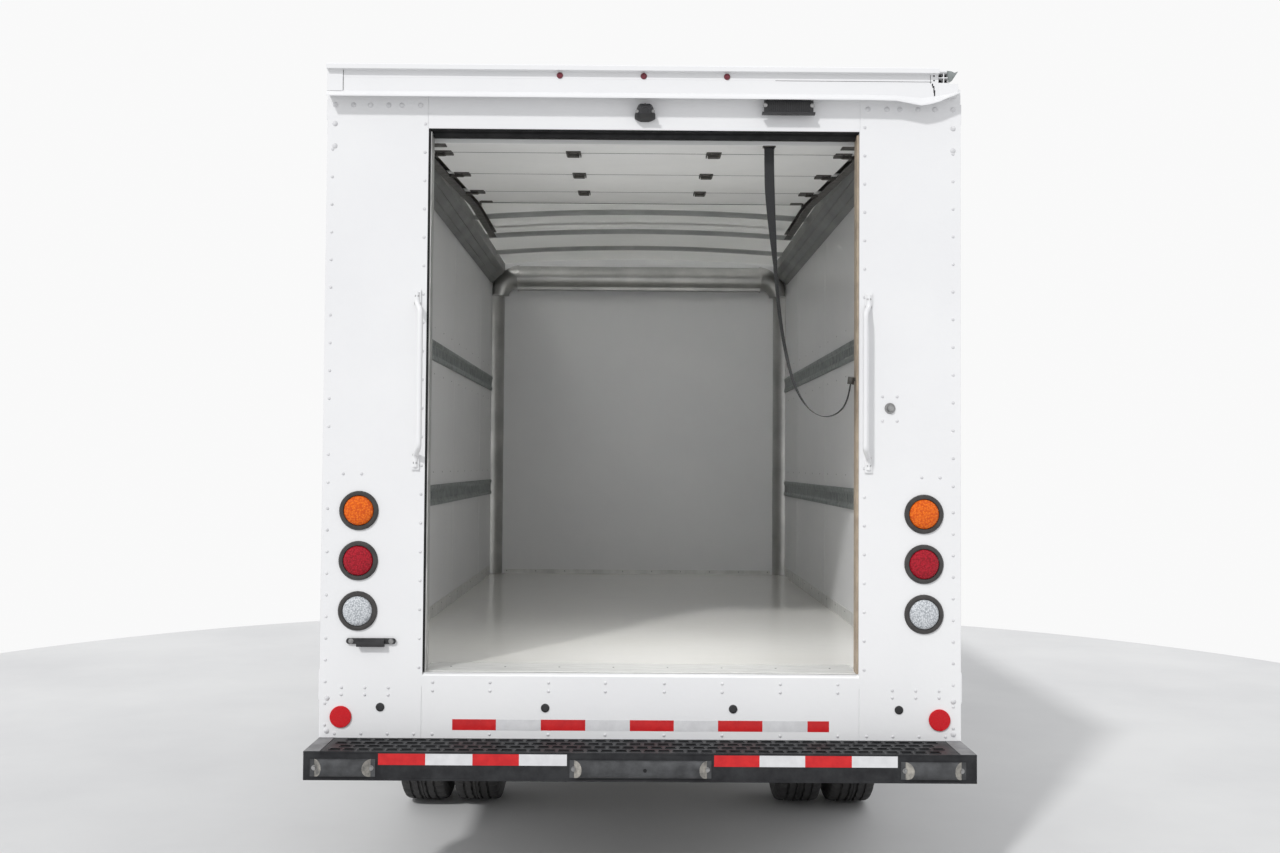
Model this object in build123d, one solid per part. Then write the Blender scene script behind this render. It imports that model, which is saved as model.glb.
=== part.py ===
from build123d import *
import math
import os

os.makedirs("parts", exist_ok=True)

# Millimetres. X is across the truck (plus X is its right side), Y runs forward, Z is up.
# The lengths below are counted from the rear face of the cargo box. SHIFT_Y then puts the origin
# on the ground under the middle of the whole truck.

# Cargo box
BODY_W = 2438.0
WALL_T = 150.0
LOAD_L = 4400.0
FRONT_WALL_T = 100.0
FLOOR_Z = 870.0
DECK_T = 45.0
SILL_H = 60.0
SILL_W = 40.0
SILL_PITCH = 400.0
LOAD_H = 2239.0
BOW_DEPTH = 50.0
BOW_W = 40.0
BOW_PITCH = 609.6
BOW_COUNT = 6
LAST_BOW_Y = 3772.0
ROOF_CROWN = 37.0
SKIN_T = 3.0
COVE = 92.0
FRONT_RETURN = 81.0
POST_R = 75.0
HEADER_R = 84.0
ELBOW_R = 96.0
OUTER_CORNER_R = 160.0
RAIL_ROUND = 45.0
KICK_H = 62.0

# Rear frame, door opening and roll-up door
FRAME_D = 75.0
OPENING_W = 1660.0
OPENING_H = 2084.0
LIP_H = 53.0
SILL_LIP = 30.0
SILL_DROP = 247.0
RAIL_TOP = 2318.0
RAIL_LOW = 2190.0
RAIL_OUT = 60.0
DOOR_T = 25.0
DOOR_OVERLAP = 27.5
DOOR_SLOPE = 0.0725
DOOR_EDGE_Z = 2045.0
DOOR_JOINTS = (95.0, 300.0, 850.0, 1400.0, 1820.0)
TRACK_OUT = 42.0
TRACK_END_Y = 2780.0
TRACK_W = 34.0
TRACK_WALL = 4.0
ROLLER_LIFT = 6.0

# Rear bumper
BUMPER_W = 2434.0
BUMPER_D = 231.0
BUMPER_H = 103.0
PLATE_T = 6.0
PAD_OUT = 25.0
PLATE_HOLES = (-1100.0, -948.0)

# Chassis
FRAME_HALF = 432.0
CHANNEL_H = 170.0
CHANNEL_W = 65.0
CHANNEL_T = 7.0
WHEELBASE = 4470.0
AXLE_AHEAD = 1520.0
FRONT_OVERHANG = 850.0
SPRING_X = 395.0
SPRING_W = 64.0
SPRING_LEN = 560.0
LEAF_T = 14.0
SPRING_DROP = 65.0

# Wheels
TYRE_R = 372.0
TYRE_W = 223.0
RIM_R = 203.0
RIM_W = 178.0
DISC_OFFSET = 127.5
DUAL_X = 905.0
FRONT_WHEEL_X = 865.0
KINGPIN_X = 742.0
KINGPIN_R = 17.0
SPINDLE_R = 38.0
HUB_R = 60.0
STUD_PCD = 165.0
AXLE_TUBE_R = 45.0
ARM_LEN = 165.0
ARM_X = 0.0
FIT = 0.3

# Cab
CAB_GAP = 60.0
CAB_BOTTOM = 500.0
DOOR_DEPTH = 110.0
ROOF_T = 40.0
SHELL_T = 25.0
FENDER_T = 40.0
PANEL_GAP = 6.0
BELT_Z = 1345.0
ROOF_LINE = 2005.0
CAB_FLOOR_Z = 800.0
ARCH_ROOM = 80.0
ARCH_LIFT = 28.0
DOOR_AHEAD = 168.0
DOOR_LEN = 1122.0
HOOD_AHEAD = 1556.0
HOOD_HALF = 690.0
HINGE_R = 9.0
HINGE_X = 1018.0
SEAT_X = 580.0
SEAT_LOW = 1010.0

BODY_HALF = BODY_W / 2
INNER_HALF = BODY_HALF - WALL_T
BODY_FRONT = LOAD_L + FRONT_WALL_T
OPENING_HALF = OPENING_W / 2
DOOR_W = OPENING_W + 2 * DOOR_OVERLAP
TRACK_X = OPENING_HALF + TRACK_OUT
WALL_TOP = FLOOR_Z + LOAD_H - ROOF_CROWN
HEADER_TOP = WALL_TOP - COVE / 2
SKIN_Z = FLOOR_Z + LOAD_H + BOW_DEPTH
DECK_BOTTOM = FLOOR_Z - DECK_T
FRAME_TOP = DECK_BOTTOM - SILL_H
FRAME_BOTTOM = FRAME_TOP - CHANNEL_H
BUMPER_TOP = FLOOR_Z - SILL_DROP
BUMPER_LOW = BUMPER_TOP - BUMPER_H
FRONT_AXLE_Y = BODY_FRONT + AXLE_AHEAD
REAR_AXLE_Y = FRONT_AXLE_Y - WHEELBASE
FRONT_END = FRONT_AXLE_Y + FRONT_OVERHANG
CAB_BACK = BODY_FRONT + CAB_GAP
# The cab is laid out from the front of the box, and this far plane is ahead of it all
CAB_Y = BODY_FRONT
PAST_Y = CAB_Y + 2500
DOOR_REAR_Y = CAB_Y + DOOR_AHEAD
DOOR_FRONT_Y = DOOR_REAR_Y + DOOR_LEN
HOOD_REAR_Y = CAB_Y + HOOD_AHEAD
SPRING_TIPS_Z = FRAME_BOTTOM - SPRING_DROP
ARCH_R = TYRE_R + ARCH_ROOM
ARCH_Z = TYRE_R + ARCH_LIFT
SHIFT_Y = -(FRONT_END - BUMPER_D - PAD_OUT) / 2


def outline(corners):
    """Closed face from corners (u, v, r), each corner rounded to its radius r."""
    points = [(u, v) for u, v, r in corners]
    radii = [r for u, v, r in corners]
    return make_face(FilletPolyline(*points, radius=radii, close=True))


def block(x, y, z):
    """Box between two limits on each axis."""
    size = (x[1] - x[0], y[1] - y[0], z[1] - z[0])
    return Pos(x[0], y[0], z[0]) * Box(*size, align=(Align.MIN, Align.MIN, Align.MIN))


def side_prism(corners, x):
    """Outline drawn in (y, z), run across the truck between two x."""
    return extrude(Plane.YZ.offset(x[0]) * outline(corners), amount=x[1] - x[0])


def section_prism(corners, y):
    """Outline drawn in (x, z), run along the truck between two y."""
    return extrude(Plane.XZ.offset(-y[1]) * outline(corners), amount=y[1] - y[0])


def plan_prism(corners, z):
    """Outline drawn in (x, y), run up between two z."""
    return extrude(Plane.XY.offset(z[0]) * outline(corners), amount=z[1] - z[0])


def rod(start, stop, radius):
    """Round bar between two points."""
    run = Vector(*stop) - Vector(*start)
    return extrude(Plane(origin=start, z_dir=run) * Circle(radius), amount=run.length)


def turned(corners, x, y, z):
    """Outline drawn in (distance along X, radius), turned about an axis along X."""
    return Pos(x, y, z) * revolve(outline(corners), axis=Axis.X, revolution_arc=360)


def mirrored(part):
    return mirror(part, about=Plane.YZ)


def both(part):
    """The part and its mirror image across the truck."""
    return part + mirrored(part)


def group(*parts):
    """Like pieces in one node that don't touch."""
    return Compound(children=[solid for part in parts for solid in part.solids()])


# Cargo box: walls, floor, roof


def crown_band(z, depth, half, y):
    """Band of the given depth under a crowned line across the body."""
    drop = ROOF_CROWN * (half / (INNER_HALF - COVE)) ** 2
    top = ThreePointArc((-half, z - drop), (0, z), (half, z - drop))
    low = ThreePointArc((-half, z - depth - drop), (0, z - depth), (half, z - depth - drop))
    face = make_face([top, Line(top @ 1, low @ 1), low, Line(low @ 0, top @ 0)])
    return extrude(Plane.XZ.offset(-y[1]) * face, amount=y[1] - y[0])


def side_wall():
    """Right side wall, from the rear frame to the front corner."""
    return block((INNER_HALF, BODY_HALF), (FRAME_D, LOAD_L - FRONT_RETURN), (FRAME_TOP, WALL_TOP))


def cove_rail():
    """Right roof rail: sloped cove inside, rounded edge outside."""
    ledge = INNER_HALF - COVE
    skin_edge = BODY_HALF - RAIL_ROUND
    edge_z = SKIN_Z - ROOF_CROWN * (skin_edge / ledge) ** 2
    corners = (
        (INNER_HALF, WALL_TOP - COVE, 0),
        (ledge, WALL_TOP, 0),
        (ledge, SKIN_Z - ROOF_CROWN - 1, 0),
        (skin_edge, edge_z - 1, 0),
        (BODY_HALF, edge_z - 1, RAIL_ROUND * 0.7),
        (BODY_HALF, WALL_TOP, 0),
        (INNER_HALF, WALL_TOP, 0),
    )
    return section_prism(corners, (FRAME_D, LOAD_L - FRONT_RETURN))


def front_wall():
    """Front wall with its side returns and a round outer edge."""
    start = LOAD_L - FRONT_RETURN
    outer = block((-BODY_HALF, BODY_HALF), (start, BODY_FRONT), (FRAME_TOP, SKIN_Z + 50))
    outer = outer & crown_band(SKIN_Z, SKIN_Z, BODY_HALF, (start, BODY_FRONT))
    inner = block((-INNER_HALF, INNER_HALF), (start - 300, LOAD_L), (DECK_BOTTOM, HEADER_TOP))
    return round_front(outer, OUTER_CORNER_R) - inner


def round_front(shape, radius):
    """Rounds the side and top edges of a shape's front face."""
    front = shape.faces().sort_by(Axis.Y)[-1]
    low = front.edges().sort_by(Axis.Z)[0]
    return fillet([edge for edge in front.edges() if edge.center().Z > low.center().Z + 10], radius)


def corner_mouldings():
    """Round header across the front wall, round posts in its corners, and cast elbows where they meet."""
    middle = HEADER_TOP - HEADER_R / 2
    elbow_x = INNER_HALF - POST_R + 12
    elbow = Pos(elbow_x, LOAD_L - HEADER_R + 20, middle) * Sphere(ELBOW_R)
    corners = (
        (0, FLOOR_Z, 0),
        (INNER_HALF, FLOOR_Z, 0),
        (INNER_HALF, WALL_TOP - COVE - 2 * FIT, 0),
        (INNER_HALF - COVE / 2 - 2 * FIT, HEADER_TOP - FIT, 0),
        (0, HEADER_TOP - FIT, 0),
    )
    elbow = elbow & section_prism(corners, (LOAD_L - 300, LOAD_L))
    post = plan_prism(
        (
            (INNER_HALF, LOAD_L, 0),
            (INNER_HALF, LOAD_L - POST_R, 0),
            (INNER_HALF - POST_R * 0.45, LOAD_L - POST_R, POST_R * 0.4),
            (INNER_HALF - POST_R, LOAD_L - POST_R * 0.45, POST_R * 0.4),
            (INNER_HALF - POST_R, LOAD_L, 0),
        ),
        (FLOOR_Z, middle - ELBOW_R - FIT),
    )
    header = side_prism(
        (
            (LOAD_L, HEADER_TOP - FIT, 0),
            (LOAD_L - HEADER_R, HEADER_TOP - FIT, 0),
            (LOAD_L - HEADER_R, HEADER_TOP - HEADER_R, HEADER_R * 0.7),
            (LOAD_L, HEADER_TOP - HEADER_R, 0),
        ),
        (ELBOW_R - elbow_x + FIT, elbow_x - ELBOW_R - FIT),
    )
    return group(header, post, mirrored(post), elbow, mirrored(elbow))


def roof_skin():
    """Thin crowned skin over the bows, rails and front header."""
    return crown_band(SKIN_Z + SKIN_T, SKIN_T, BODY_HALF - RAIL_ROUND, (FRAME_D, LOAD_L - FRONT_RETURN))


def roof_bows():
    """Curved bows under the skin, each from cove to cove."""
    half = INNER_HALF - COVE
    places = [LAST_BOW_Y - i * BOW_PITCH for i in range(BOW_COUNT)]
    return group(*[crown_band(SKIN_Z, BOW_DEPTH, half, (y - BOW_W / 2, y + BOW_W / 2)) for y in places])


def box_floor():
    """Deck with channel cross members under it; those over the rear wheels are short."""
    deck = plan_prism(
        (
            (-INNER_HALF, FRAME_D, 0),
            (-OPENING_HALF, FRAME_D, 0),
            (-OPENING_HALF, SILL_LIP, 0),
            (OPENING_HALF, SILL_LIP, 0),
            (OPENING_HALF, FRAME_D, 0),
            (INNER_HALF, FRAME_D, 0),
            (INNER_HALF, LOAD_L, 0),
            (-INNER_HALF, LOAD_L, 0),
        ),
        (DECK_BOTTOM, FLOOR_Z),
    )
    for i in range(int(LOAD_L // SILL_PITCH)):
        y = 180 + i * SILL_PITCH
        over_wheel = abs(y + SILL_W / 2 - REAR_AXLE_Y) < TYRE_R + 60
        half = 600 if over_wheel else INNER_HALF
        member = block((-half, half), (y, y + SILL_W), (FRAME_TOP, DECK_BOTTOM))
        deck += member - block((-half, half), (y + 6, y + SILL_W), (FRAME_TOP + 6, DECK_BOTTOM - 6))
    return deck


def wall_tracks():
    """Load rails on both side walls, each a strip with a recessed middle."""
    strips = []
    # Bands above the floor: low, high
    for low, high in ((577.0, 684.0), (1325.0, 1427.0)):
        run = (120.0, LOAD_L - FRONT_RETURN - 20)
        strip = block((INNER_HALF - 14, INNER_HALF), run, (FLOOR_Z + low, FLOOR_Z + high))
        groove = block((INNER_HALF - 15, INNER_HALF - 6), run, (FLOOR_Z + low + 26, FLOOR_Z + high - 26))
        strips.append(strip - groove)
    return group(*[side for strip in strips for side in (strip, mirrored(strip))])


def floor_trim():
    """Threshold plate, kick plates along the walls and a base strip at the front."""
    threshold = block((-OPENING_HALF, OPENING_HALF), (32, 228), (FLOOR_Z, FLOOR_Z + 3))
    run = (120, LOAD_L - FRONT_RETURN - 20)
    kick = block((INNER_HALF - 4, INNER_HALF), run, (FLOOR_Z, FLOOR_Z + KICK_H))
    half = INNER_HALF - 100
    strip = block((-half, half), (LOAD_L - 4 - FIT, LOAD_L - FIT), (FLOOR_Z, FLOOR_Z + 30))
    return group(threshold, kick, mirrored(kick), strip)


# Rear frame, sill, rail and door


def rear_frame():
    """Rear portal: two post panels and a header panel round the door opening."""
    top = SKIN_Z - ROOF_CROWN
    low = FLOOR_Z - LIP_H
    ring = block((-BODY_HALF, BODY_HALF), (0, FRAME_D), (low, top))
    ring -= block((-OPENING_HALF, OPENING_HALF), (-1, FRAME_D + 1), (low - 1, FLOOR_Z + OPENING_H))
    seam = block((OPENING_HALF, OPENING_HALF + 3), (-1, 2), (FLOOR_Z + OPENING_H - 1, top + 1))
    return ring - both(seam)


def rear_sill():
    """Lower rear panel across the whole body, with a lip up to the floor in the opening."""
    panel = block((-BODY_HALF, BODY_HALF), (0, FRAME_D), (BUMPER_TOP, FLOOR_Z - LIP_H))
    seam = block((OPENING_HALF, OPENING_HALF + 3), (-1, 2), (BUMPER_TOP - 1, FLOOR_Z - LIP_H + 1))
    low = FLOOR_Z - LIP_H
    corners = ((0, low, 0), (SILL_LIP, low, 0), (SILL_LIP, FLOOR_Z, 0), (12, FLOOR_Z, 0), (0, FLOOR_Z - 12, 0))
    return panel + side_prism(corners, (-OPENING_HALF, OPENING_HALF)) - both(seam)


def rear_rail():
    """Roof-edge rail across the rear, with a cap lip above and a drip flange below.

    Its left end has a cap that stands proud; the right cap has come off and shows two hollow cells.
    """
    low = FLOOR_Z + RAIL_LOW
    high = FLOOR_Z + RAIL_TOP
    face = -RAIL_OUT + 22
    corners = (
        (0, low + 18, 0),
        (-RAIL_OUT, low, 0),
        (-RAIL_OUT, low + 6, 0),
        (face, low + 26, 0),
        (face, high - 22, 0),
        (-RAIL_OUT, high - 22, 0),
        (-RAIL_OUT, high, 10),
        (0, high, 0),
    )
    cap = (
        (0, low + 18, 0),
        (-RAIL_OUT, low, 0),
        (-RAIL_OUT, low + 6, 0),
        (face - 8, low + 26, 0),
        (face - 8, high - 24, 0),
        (-RAIL_OUT, high - 24, 0),
        (-RAIL_OUT, high, 12),
        (0, high, 0),
    )
    end = BODY_HALF - 18
    rail = side_prism(corners, (-BODY_HALF + 66, end)) + side_prism(cap, (-BODY_HALF + 6, -BODY_HALF + 66))
    middle = (low + high) / 2
    rail -= block((end - 45, end + 1), (face + 4, -4), (low + 26, middle - 3))
    return rail - block((end - 45, end + 1), (face + 4, -4), (middle + 3, high - 6))


def door_z(y):
    """Height of the open door's underside at a distance from the rear face."""
    return FLOOR_Z + DOOR_EDGE_Z + y * DOOR_SLOPE


def roll_up_door():
    """Panels of the open door, lying under the roof on their tracks."""
    panels = []
    for near, far in zip(DOOR_JOINTS[:-1], DOOR_JOINTS[1:]):
        z_near = door_z(near)
        z_far = door_z(far)
        corners = (
            (near + 2, z_near, 0),
            (far, z_far, 0),
            (far, z_far + DOOR_T, 0),
            (near + 2, z_near + DOOR_T, 0),
        )
        panels.append(side_prism(corners, (-DOOR_W / 2, DOOR_W / 2)))
    door = panels[0]
    for panel in panels[1:]:
        door += panel
    # Hinges across each joint, and rollers that run in the tracks: y, x
    for far in DOOR_JOINTS[1:-1]:
        z = door_z(far)
        for x in (-DOOR_W / 6, DOOR_W / 6):
            door += block((x - 25, x + 25), (far - 45, far + 45), (z - 8, z + 5))
        for side in (-1, 1):
            axle_z = z + ROLLER_LIFT
            door += rod((side * (DOOR_W / 2 - 20), far, axle_z), (side * (TRACK_X + 18), far, axle_z), 8)
    return door


def door_tracks():
    """Channel tracks: up behind the posts, round a bend and forward under the roof."""
    track = track_strip(0, (TRACK_X, TRACK_X + 40)) - track_strip(TRACK_WALL, (TRACK_X - 1, TRACK_X + 36))
    # Feet on the posts, then hangers up to the bows
    for z in (150, 900, 1700):
        track += block((TRACK_X + 36, TRACK_X + 40), (FRAME_D, FRAME_D + 12), (FLOOR_Z + z, FLOOR_Z + z + 60))
    edge = TRACK_X + 40
    bow_low = SKIN_Z - BOW_DEPTH - ROOF_CROWN * (edge / (INNER_HALF - COVE)) ** 2
    for i in (2, 3, 4):
        y = LAST_BOW_Y - i * BOW_PITCH
        start = door_z(y) + ROLLER_LIFT
        track += block((edge - 4, edge), (y - 15, y + 15), (min(start, bow_low - 20), bow_low - FIT))
    return both(track)


def track_strip(inset, x):
    """Track outline seen from the side, or the groove inside its walls."""
    low = FLOOR_Z + 5 - inset
    near = FRAME_D + 6 + inset
    far = FRAME_D + 6 + TRACK_W - inset
    lift = ROLLER_LIFT - TRACK_W / 2 + inset
    bend_y = DOOR_JOINTS[-1] + 30
    depth = TRACK_W - 2 * inset
    end_y = TRACK_END_Y + inset
    strip = (
        (near, low, 0),
        (far, low, 0),
        (far, door_z(far) + lift, 60),
        (bend_y, door_z(bend_y) + lift, 0),
        (end_y, door_z(bend_y) + lift - 3, 0),
        (end_y, door_z(bend_y) + lift - 3 + depth, 0),
        (bend_y, door_z(bend_y) + lift + depth, 0),
        (near, door_z(near) + lift + depth, 60 + depth),
    )
    return side_prism(strip, x)


# Rear fittings


def tail_lamps():
    """Round lamps in rubber rings: amber, red and clear on each side."""
    lamps = []
    ring = ((0, 0, 0), (0, 75, 0), (8, 74, 3), (10, 60, 3), (8, 56, 0), (16, 50, 5), (20, 0, 0))
    for z in (613.0, 422.5, 232.0):
        lamp = revolve(outline(ring), axis=Axis.X, revolution_arc=360)
        lamps.append(Pos(1078, 0, FLOOR_Z + z) * (Rot(0, 0, -90) * lamp))
    return group(*lamps, *[mirrored(lamp) for lamp in lamps])


def round_studs(places, radius, out):
    """Short round fittings on the rear face: places are (x, z above the floor, y of the face)."""
    return group(*[rod((x, y, FLOOR_Z + z), (x, y - out, FLOOR_Z + z), radius) for x, z, y in places])


def reflectors():
    return round_studs(((-1137, -168, 0), (1137, -168, 0)), 41, 8)


def sensors():
    return round_studs(((-988, -132, 0), (-362, -132, 0), (352, -132, 0), (983, -132, 0)), 16.5, 4)


def marker_lamps():
    """Three small round lamps in the recess of the roof rail."""
    face = -RAIL_OUT + 22
    return round_studs(((-320, 2281, face), (-4, 2281, face), (312, 2281, face)), 12, 7)


def grab_handles():
    """Vertical tube handles beside the opening, with flattened bolted ends."""
    handles = []
    low, high = 780, 1450
    out = 62.0
    for side in (1, -1):
        bolt_x = side * (OPENING_HALF + 35)
        tube_x = side * (OPENING_HALF + 13)
        points = (
            (bolt_x, -6, FLOOR_Z + high),
            (bolt_x, -6, FLOOR_Z + high - 45),
            (tube_x, -out, FLOOR_Z + high - 75),
            (tube_x, -out, FLOOR_Z + low + 75),
            (bolt_x, -6, FLOOR_Z + low + 45),
            (bolt_x, -6, FLOOR_Z + low),
        )
        path = FilletPolyline(*points, radius=25)
        tube = sweep(Plane(origin=path @ 0, z_dir=path % 0) * Circle(10), path=path)
        pads = None
        for z0 in (high - 40, low - 10):
            pad = block((bolt_x - 14, bolt_x + 14), (-8, 0), (FLOOR_Z + z0, FLOOR_Z + z0 + 50))
            pads = pad if pads is None else pads + pad
        handles.append((tube & block((bolt_x - 99, bolt_x + 99), (-99, 0), (FLOOR_Z, FLOOR_Z + 3000))) + pads)
    return group(*handles)


def plate_bracket():
    """Flat bar on two bosses with a lamp hood in its middle, for the registration plate."""
    z = FLOOR_Z + 119
    low_x, high_x = PLATE_HOLES[0] - 18, PLATE_HOLES[1] + 18
    bracket = block((low_x, high_x), (-10, -6), (z - 11, z + 11))
    bracket = fillet(bracket.edges().filter_by(Axis.Y), 10)
    hood = ((-10, z - 20, 0), (-30, z - 20, 6), (-30, z - 2, 12), (-10, z + 9, 0))
    bracket += side_prism(hood, (low_x + 42, high_x - 42))
    for x in PLATE_HOLES:
        bracket += rod((x, -6, z), (x, 0, z), 10)
        bracket -= rod((x, -11, z), (x, 1, z), 4)
    return bracket


def view_camera():
    """Small hooded camera under the drip flange."""
    z = FLOOR_Z + 2150
    side = ((0, z + 34, 0), (-42, z + 20, 6), (-46, z - 6, 6), (-20, z - 34, 4), (0, z - 34, 0))
    hood = side_prism(side, (-38, 42))
    eye = rod((2, -20, z - 18), (2, -48, z - 26), 13)
    return hood + eye


def work_lamp():
    """Wide finned lamp under the drip flange."""
    z = FLOOR_Z + 2168
    body = block((457, 646), (-40, 0), (z - 26, z + 26))
    body = fillet(body.edges().filter_by(Axis.Y), 5)
    for i in range(11):
        x = 474 + i * 14
        body -= block((x, x + 5), (-41, -28), (z - 14, z + 27))
    return body


# Rear bumper


def rear_bumper():
    """Step bumper: a face plate with a bottom lip, a back leg, end plates and frame arms."""
    half = BUMPER_W / 2
    face = block((-half, half), (-BUMPER_D, -BUMPER_D + PLATE_T), (BUMPER_LOW, BUMPER_TOP))
    lip = block((-half, half), (-BUMPER_D, -BUMPER_D + 60), (BUMPER_LOW, BUMPER_LOW + PLATE_T))
    back = block((-half, half), (-PLATE_T, -0.5), (BUMPER_LOW + 30, BUMPER_TOP))
    bumper = face + lip + back
    for side in (-1, 1):
        ends = sorted((side * half, side * (half - 58)))
        bumper += block(ends, (-BUMPER_D, -0.5), (BUMPER_TOP - PLATE_T, BUMPER_TOP))
        edge = sorted((side * half, side * (half - PLATE_T)))
        bumper += block(edge, (-BUMPER_D, -0.5), (BUMPER_LOW + 30, BUMPER_TOP))
        arm = sorted((side * (FRAME_HALF - CHANNEL_W), side * FRAME_HALF))
        bumper += block(arm, (-BUMPER_D + PLATE_T, 420), (BUMPER_LOW + 32, FRAME_BOTTOM))
    return bumper


def bumper_step():
    """Grip deck of the bumper: rows of slots between the end plates."""
    half = BUMPER_W / 2 - 60
    back = -PLATE_T - 0.3
    front = -BUMPER_D + PLATE_T + 0.3
    deck = block((-half, half), (front, back), (BUMPER_TOP - 5, BUMPER_TOP))
    rows = 4
    pitch = 52.0
    count = int((2 * half - 40) // pitch)
    slots = []
    for row in range(rows):
        y = front + 28 + row * (back - front - 56) / (rows - 1)
        for i in range(count):
            x = -half + 46 + i * pitch + (row % 2) * pitch / 2
            if x < half - 30:
                slots.append(Pos(x, y) * Rectangle(36, 20))
    cutter = extrude(Plane.XY.offset(BUMPER_TOP - 6) * Sketch(children=slots), amount=8)
    deck -= cutter
    for low in (front, back - 5):
        deck += block((-half, half), (low, low + 5), (BUMPER_TOP - 25, BUMPER_TOP - 5))
    return deck


def dock_pads():
    """Three rubber blocks on the bumper face with bevelled ends."""
    pads = []
    # Pad: low x, high x
    for low, high in ((-1192.0, -957.0), (-256.0, 256.0), (942.0, 1177.0)):
        y = -BUMPER_D
        shape = ((low, y, 0), (low + 14, y - PAD_OUT, 4), (high - 14, y - PAD_OUT, 4), (high, y, 0))
        bevelled = plan_prism(shape, (FLOOR_Z - 340, FLOOR_Z - 270))
        section = (
            (y, FLOOR_Z - 336, 0),
            (y - PAD_OUT, FLOOR_Z - 336, 16),
            (y - PAD_OUT, FLOOR_Z - 273, 16),
            (y, FLOOR_Z - 273, 0),
        )
        pads.append(bevelled & side_prism(section, (low, high)))
    pads[1] -= rod((16, -BUMPER_D - 12, FLOOR_Z - 304), (16, -BUMPER_D - PAD_OUT - 1, FLOOR_Z - 304), 7)
    return group(*pads)


# Chassis


def frame_rails():
    """Ladder frame: two channels open inwards, with cross members between them."""
    start = FRAME_D + 4
    stop = FRONT_END - 220
    outer = block((FRAME_HALF - CHANNEL_W, FRAME_HALF), (start, stop), (FRAME_BOTTOM, FRAME_TOP))
    hollow = block(
        (FRAME_HALF - CHANNEL_W - 1, FRAME_HALF - CHANNEL_T),
        (start - 1, stop + 1),
        (FRAME_BOTTOM + CHANNEL_T, FRAME_TOP - CHANNEL_T),
    )
    frame = both(outer - hollow)
    # Cross members: y, depth, height, low edge above the frame's underside
    for y, depth, height, lift in (
        (90, 50, 140, 15),
        (REAR_AXLE_Y - 570, 60, 120, 30),
        (REAR_AXLE_Y + 650, 60, 120, 30),
        (REAR_AXLE_Y + 1750, 60, 120, 30),
        (BODY_FRONT - 100, 60, 100, 62),
        (BODY_FRONT + 1220, 80, 36, 8),
        (BODY_FRONT + 2060, 70, 40, 8),
    ):
        low = FRAME_BOTTOM + lift
        inner = FRAME_HALF - CHANNEL_T
        frame += block((-inner, inner), (y, y + depth), (low, low + height))
    return frame


def leaf(y, seat_z, tips_z, lift, share):
    """One spring leaf: a band bent to the pack's curve, some share of its full length."""
    sag = tips_z - seat_z
    bend = (SPRING_LEN**2 + sag**2) / (2 * sag)
    centre_z = seat_z + bend
    reach = share * math.asin(SPRING_LEN / bend)
    edges = []
    for radius in (bend - lift, bend - lift - LEAF_T):
        spots = [(y + radius * math.sin(a), centre_z - radius * math.cos(a)) for a in (-reach, 0, reach)]
        edges.append(ThreePointArc(*spots))
    outer, inner = edges
    face = make_face([outer, Line(outer @ 1, inner @ 1), inner, Line(inner @ 0, outer @ 0)])
    return extrude(Plane.YZ.offset(SPRING_X - SPRING_W / 2) * face, amount=SPRING_W)


def leaf_spring(y, seat_z, tips_z, clamp_y, clamp_low):
    """Right leaf pack: stepped leaves, eyes in their hangers, and U-bolts round the axle."""
    pack = leaf(y, seat_z, tips_z, 0, 0.45) + leaf(y, seat_z, tips_z, LEAF_T, 0.72)
    pack += leaf(y, seat_z, tips_z, 2 * LEAF_T, 1.0)
    x = SPRING_X - SPRING_W / 2
    for tip in (-1, 1):
        eye = y + tip * SPRING_LEN
        eye_z = tips_z + 2.5 * LEAF_T
        pack += rod((x, eye, eye_z), (x + SPRING_W, eye, eye_z), 20)
        pack += block((x + 8, x + SPRING_W - 8), (eye - 22, eye + 22), (eye_z, FRAME_BOTTOM))
    top = seat_z + 3 * LEAF_T
    plate = (x - 16, x + SPRING_W + 16)
    along = (y - clamp_y - 9, y + clamp_y + 9)
    pack += block(plate, along, (top - 2, top + 12))
    pack += block(plate, along, (clamp_low - 12, clamp_low - 1))
    for bolt_x in (x - 8, x + SPRING_W + 8):
        for bolt_y in (y - clamp_y, y + clamp_y):
            pack += rod((bolt_x, bolt_y, clamp_low - 22), (bolt_x, bolt_y, top + 20), 6.5)
    return pack


def leaf_springs():
    """Four leaf packs, on the rear axle tubes and on the front beam."""
    seat_z = TYRE_R + AXLE_TUBE_R
    rear = leaf_spring(REAR_AXLE_Y, seat_z, SPRING_TIPS_Z, AXLE_TUBE_R + 7.5, TYRE_R - AXLE_TUBE_R)
    front = leaf_spring(FRONT_AXLE_Y, TYRE_R + 22, SPRING_TIPS_Z, 44, TYRE_R - 61)
    return group(rear, mirrored(rear), front, mirrored(front))


def rear_axle():
    """Live axle: housing with a round gear case, tubes and the spindles in the hubs."""
    axle = rod((-DUAL_X + 215, REAR_AXLE_Y, TYRE_R), (DUAL_X - 215, REAR_AXLE_Y, TYRE_R), AXLE_TUBE_R)
    axle += rod((-DUAL_X - 20, REAR_AXLE_Y, TYRE_R), (DUAL_X + 20, REAR_AXLE_Y, TYRE_R), SPINDLE_R)
    case = Pos(0, REAR_AXLE_Y, TYRE_R) * Sphere(165)
    axle += case
    axle += rod((0, REAR_AXLE_Y, TYRE_R), (0, REAR_AXLE_Y + 260, TYRE_R), 60)
    for side in (-1, 1):
        x = side * (DUAL_X - 222)
        axle += rod((x, REAR_AXLE_Y, TYRE_R), (x + side * 7, REAR_AXLE_Y, TYRE_R), 172)
    return axle


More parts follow.
